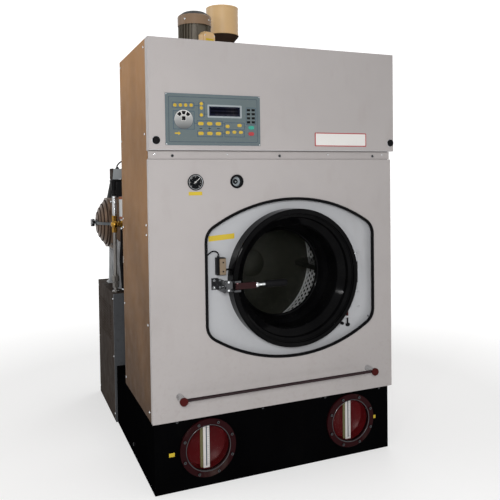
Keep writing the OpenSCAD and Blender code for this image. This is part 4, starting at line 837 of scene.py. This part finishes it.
# ---------------------------------------------------------------- cabinet sides, back and roof
p = Piece("side_seams", "side", "machine", 0.3)
for x in (-SIDE - 0.7, SIDE):
    p.box(x, x + 0.7, -640, -180, 1086, 1090)
    p.box(x, x + 0.7, -190, -187, 320, 1840)
p.done("panel_white")
p = Piece("side_screws", "bracket", "machine")
for x, axis in ((-SIDE, LEFT), (SIDE, RIGHT)):
    for z in (340, 700, 1070, 1110, 1480, 1830):
        for y in (-668, -166):
            p.screw(x, y, z, 5.5, axis)
for z in (340, 700, 1110, 1480, 1830):
    for x in (-550, 550):
        p.screw(x, BACK, z, 5.5, REAR)
for x in (-550, 0, 550):
    for y in (-670, -170):
        p.screw(x, y, ROOF, 5.5, UP)
p.done("panel_white")
p = Piece("rear_louvres", "side", "machine", 0.3)
for bank in (-380, 260):
    for k in range(10):
        p.louvre(lambda x, d: (x, BACK + d), (bank, bank + 240), 1380 + k * 18, 4, 11)
p.done("panel_white")
turned("bearing_cover_ring", "cast", "machine", 0.5, "cast_grey", (DOOR_X, BACK, DOOR_Z), REAR,
       [(84, 0), (104, 0), (104, 4), (98, 6), (84, 6)], 56)
p = Piece("bearing_cover_bolts", "turned", "machine", 0.3)
for c, s in turns(6, 15):
    p.hexagon((DOOR_X + 94 * c, BACK + 5.5, DOOR_Z + 94 * s), REAR, 6, 5)
p.done("steel")

# ---------------------------------------------------------------- roof fan and canister
turned("cowl_cap", "matt", "machine", 0.0, "cowl_beige", (FAN_X, FAN_Y, 0), UP,
       [(73.4, 2028.4), (73.3, 2029.4), (52.3, 2044.6), (44.2, 2047.6), (0, 2048.6)], 56)
p = Piece("cowl_screws", "chrome", "machine")
for c, s in turns(4, 40):
    p.screw(FAN_X + 76 * c, FAN_Y + 76 * s, 2006, 4, (c, s, 0))
for c, s in turns(6, 20):
    p.hexagon((FAN_X + 82 * c, FAN_Y + 82 * s, 1871), UP, 5, 4.5)
p.done("steel")
FAN_TURN = Matrix.Rotation(math.radians(-70), 4, "Z")


def fan_side(x, y, z):
    """A place in the terminal box's frame, whose x points away from the fan motor."""
    v = FAN_TURN @ Vector((x, y, 0))
    return FAN_X + v.x, FAN_Y + v.y, z


p = Piece("terminal_box_screws", "chrome", "machine")
for y in (-25, 25):
    for z in (1889, 1927):
        p.screw(*fan_side(110, y, z), 3.2, FAN_TURN @ Vector(RIGHT))
p.done("cream")
p = Piece("terminal_box_label", "yellow", "machine")
p.faces([fan_side(x, y, z) for x in (110.4, 109.9) for y, z in ((-21, 1890), (21, 1890), (21, 1914), (-21, 1914))],
        [(0, 1, 2, 3), (7, 6, 5, 4), (0, 4, 5, 1), (1, 5, 6, 2), (2, 6, 7, 3), (3, 7, 4, 0)])
p.done("cream")
turned("terminal_gland", "matt", "machine", 0.4, "cream", fan_side(90, 0, 1881), DOWN,
       [(0, -0.5), (11, -0.5), (11, 7), (8, 10), (8, 14), (0, 14)], 20)
p = Piece("canister_bands", "cream", "machine", 0.3)
for z in (2006, 2133):
    p.rev((CAN_X, CAN_Y, z), UP, [(80, -4), (80.8, -3), (80.8, 3), (80, 4)], 64)
p.done("cream")
turned("canister_cone", "brown", "machine", 0.0, "cream", (CAN_X, CAN_Y, 0), UP,
       [(48.5, 1960.4), (49, 1961.8), (80.4, 1999.2), (80.5, 2000.6)], 64)
p = Piece("canister_flange_bolts", "chrome", "machine", 0.3)
for c, s in turns(4, 45):
    p.hexagon((CAN_X + 55 * c, CAN_Y + 55 * s, 1863), UP, 4.2, 4)
p.done("steel")

# ---------------------------------------------------------------- still
p = Piece("still_bands", "bracket", "machine", 0.4)
for x in (-395, -120, 150):
    p.rev((x, STILL_Y, STILL_Z), RIGHT, [(185, -14), (186.8, -13), (186.8, 13), (185, 14)], 96)
p.done("still_beige")
p = Piece("still_welds", "still", "machine")
for x in (-420, 40):
    p.rev((x, STILL_Y, STILL_Z), RIGHT, [(184.8, -3.2), (186.2, -1.2), (186.2, 1.2), (184.8, 3.2)], 96)
p.done("still_beige")
# painted shade: the ribs are painted dark brown for the shade along them; the dome's sheet is lighter
p = Piece("lid_ribs_painted_shade", "brown", "still_door")
for r in (124, 104, 82, 58):
    q = math.sqrt(1 - (r / DOME_R) ** 2)
    slope = DOME_DEEP / DOME_R * (r / DOME_R) / q
    p.rev((DOME_X + DOME_DEEP * (1 - q), STILL_Y, STILL_Z), LEFT,
          [(r + a, b - a * slope) for a, b in ((4, -0.6), (2.2, 1.6), (0, 2.2), (-2.2, 1.6), (-4, -0.6))], 72)
p.done("still_beige")
p = Piece("lid_rim_bolts", "turned", "machine", 0.4)
for c, s in turns(10, 18):
    p.hexagon((-546, STILL_Y + 145 * c, STILL_Z + 145 * s), (0, c, s), 6, 5)
p.done("steel")
p = Piece("neck_flange_bolts", "turned", "machine", 0.3)
for c, s in turns(8, 10):
    if c > -0.7:    # the sensor box is over the other two
        p.hexagon((NECK_X + 79 * c, STILL_Y + 79 * s, 1299.6), UP, 4, 3.5)
p.done("steel")
turned("neck_ring", "rubber", "machine", 0.0, "black_plastic", (NECK_X, STILL_Y, 0), UP,
       [(87.7, 1286), (91, 1288.5), (91.4, 1293), (86.4, 1296.8)], 56)
p = Piece("sensor_screws", "matt", "machine")
for y in (400, 470):
    for z in (1310, 1352):
        p.screw(-529, y, z, 4, LEFT)
p.done("cowl_beige")
turned("sensor_gland", "matt", "machine", 0.3, "black_plastic", (-497, 415, 1359.6), UP,
       [(10, 0), (10, 5), (7, 9), (4.2, 11)], 20)
p = Piece("leg_feet_bolts", "turned", "machine", 0.3)
for x in (-513, 65):
    for y in (320, 550):
        for dx in (-25, 25):
            for dy in (-20, 20):
                p.hexagon((x + dx, y + dy, 696), UP, 4, 3.5)
p.done("steel")
p = Piece("hose_bands", "orange", "machine", 0.5)
for z in (1091, 1198):
    p.rev((HOSE_X, HOSE_Y, z), UP, [(14, -7), (15.2, -6), (15.2, 6), (14, 7)], 28)
p.done("black_rubber")
p = Piece("hose_clamps", "chrome", "machine", 0.3)
for z in (1034, 702):
    p.rev((HOSE_X, HOSE_Y, z), UP, [(10, -4.5), (11.2, -4), (11.2, 4), (10, 4.5)], 28)
    p.box(HOSE_X + 10.5, HOSE_X + 17, HOSE_Y - 4, HOSE_Y + 4, z - 4, z + 4)
p.done("steel")
p = Piece("pipe_foot_bolts", "turned", "machine", 0.2)
for c, s in turns(4, 45):
    p.hexagon((-552 + 15 * c, HOSE_Y + 15 * s, 698), UP, 2.6, 2.4)
p.done("steel")

# ---------------------------------------------------------------- drive
MOTOR = (DOOR_X, 0, MOTOR_Z)
turned("motor_fan_cover", "motor", "machine", 0.6, "motor_blue", MOTOR, REAR,
       [(85.2, 96), (88, 98), (88, 120), (84, 127), (60, 129.5), (0, 130)], 56)
p = Piece("motor_cover_grille", "matt", "machine")
for r in (20, 34, 48, 62):
    p.rev(MOTOR, REAR, [(r, 129.0), (r, 130.8), (r + 5, 130.8), (r + 5, 129.0)], 48)
p.done("motor_blue")
p = Piece("motor_blank_plate", "alu", "machine", 0.3)
p.box(DOOR_X - 30, DOOR_X + 30, 4, 66, 528, 529)
p.done("motor_blue")
p = Piece("motor_bolts", "turned", "machine", 0.3)
for x in (-6, 140):
    for y in (-10, 90):
        p.hexagon((x, y, 315), UP, 6, 5)
p.done("steel")
p = Piece("belt_ribs", "rubber", "machine")
BIG_R, SMALL_R = 209.3, 49.3        # of the belt's loop, on the drum's pulley and the motor's
lean = math.degrees(math.asin((BIG_R - SMALL_R) / (DOOR_Z - MOTOR_Z)))
line = (arc(DOOR_X, DOOR_Z, BIG_R, -lean, 180 + lean, 72) +
        arc(DOOR_X, MOTOR_Z, SMALL_R, 180 + lean, 360 - lean, 24))
for y in (-91, -88, -85, -82, -79):
    p.loop([(x, y, z) for x, z in line], 0.9, 6)
p.done("black_rubber")
p = Piece("shaft_nut", "turned", "drum", 0.6)
p.hexagon((DOOR_X, -63, DOOR_Z), REAR, 26, 14)
p.done("steel")
# painted shade: the hub cap is painted near black
turned("drum_hub_cap", "drum_back_painted_shade", "drum", 0.0, "drum_steel", (DOOR_X, -213, DOOR_Z), FRONT,
       [(70, 0), (70, 2), (58, 6), (30, 9), (0, 10)], 56)

for width, nodes in ((2.0, ("upper_front_panel", "base_tank")), (1.5, ("fan_terminal_box",)),
                     (1.2, ("rear_casing",)), (1.0, ("interlock_switch", "sight_flanges", "still_door_knob")),
                     (0.8, ("control_panel", "latch_lever", "latch_keeper", "latch_block", "handrail",
                            "hinge_bracket")),
                     (0.7, ("front_screws",))):
    for name in nodes:
        soften(name, width)

# ---------------------------------------------------------------- floor, in metres
HALF = 14.0
bm = bmesh.new()
rows = [[bm.verts.new((x, y, z)) for x in (-HALF, HALF)]
        for y, z in ((-HALF, 0.0), (6.0, 0.0), (8.0, 0.3), (9.0, 1.2), (9.3, 9.0))]
for a, b in zip(rows, rows[1:]):
    bm.faces.new((a[0], a[1], b[1], b[0]))
floor_me = bpy.data.meshes.new("floor")
bm.to_mesh(floor_me)
bm.free()
floor = place("floor", floor_me)


def seen(tree):
    """One for the rays by which the background is seen: camera, glossy and transmission."""
    rays = shader(tree, "LightPath").outputs
    out = rays["Is Camera Ray"]
    for k in ("Is Glossy Ray", "Is Transmission Ray"):
        either = shader(tree, "Math", operation="MAXIMUM")
        tree.links.new(out, either.inputs[0])
        tree.links.new(rays[k], either.inputs[1])
        out = either.outputs[0]
    return out


# the floor takes the object's shadow, and turns plain white further out
fm = bpy.data.materials.new("floor_pale")
nt = fresh(fm)
noise = shader(nt, "TexNoise", {"Scale": 3})
tone = shader(nt, "MapRange", {"From Min": 0.3, "From Max": 0.7, "To Min": 0.60, "To Max": 0.63})
lit = shader(nt, "BsdfDiffuse")
away = shader(nt, "VectorMath", operation="LENGTH")
glow = shader(nt, "MapRange", {"From Min": 1.6, "From Max": 4.5, "To Min": 0.46, "To Max": 1.0})
emit, both, pick = (shader(nt, k) for k in ("Emission", "AddShader", "MixShader"))
for a, b in ((noise.outputs["Fac"], tone.inputs["Value"]), (tone.outputs[0], lit.inputs["Color"]),
             (shader(nt, "TexCoord").outputs["Object"], away.inputs[0]),
             (away.outputs["Value"], glow.inputs["Value"]), (glow.outputs[0], emit.inputs["Strength"]),
             (lit.outputs[0], both.inputs[0]), (emit.outputs[0], both.inputs[1]),
             (seen(nt), pick.inputs[0]), (lit.outputs[0], pick.inputs[1]), (both.outputs[0], pick.inputs[2]),
             (pick.outputs[0], shader(nt, "OutputMaterial").inputs[0])):
    nt.links.new(a, b)
floor_me.materials.append(fm)

# ---------------------------------------------------------------- world and lamps, in metres and watts
world = bpy.data.worlds.new("studio")
SCENE.world = world
nt = fresh(world)
soft = shader(nt, "Background", {"Color": (1, 0.99, 0.975, 1), "Strength": 0.36})
white = shader(nt, "Background", {"Color": (1, 1, 1, 1), "Strength": 1.0})
pick = shader(nt, "MixShader")
for a, b in ((seen(nt), pick.inputs[0]), (soft.outputs[0], pick.inputs[1]), (white.outputs[0], pick.inputs[2]),
             (pick.outputs[0], shader(nt, "OutputWorld").inputs[0])):
    nt.links.new(a, b)

for name, loc, target, size, power in (
        ("key", (-1.5, -4.0, 1.8), (0, -0.6, 0.9), (0.8, 0.7), 66),
        ("front", (2.4, -5.0, 1.6), (0, -0.6, 1.1), (2.4, 1.6), 8),
        ("top", (0.4, 0.6, 5.0), (0, 0, 1.2), (3.0, 3.0), 36),
        ("back", (3.0, 3.6, 2.8), (0, 0.2, 1.0), (2.0, 2.0), 28),
        ("left", (-4.4, 0.6, 2.6), (0, 0.1, 1.0), (2.0, 2.0), 24),
        ("glint_low", (0.9, -4.2, 0.9), (0.1, -0.7, 0.86), (0.12, 0.12), 3),
        ("glint_drum", (-1.15, -3.3, 1.5), (0.15, -0.5, 0.86), (0.3, 0.3), 9),
        ("glint_left", (-1.96, -2.76, 1.61), (0.28, -0.65, 0.78), (0.1, 0.1), 8)):
    lamp = bpy.data.lights.new(name, "AREA")
    lamp.shape = "RECTANGLE"
    lamp.size, lamp.size_y = size
    lamp.energy = power
    o = place(name, lamp)
    o.location = loc
    o.rotation_euler = (Vector(target) - Vector(loc)).to_track_quat("-Z", "Y").to_euler()
SCENE.view_settings.view_transform = "Standard"
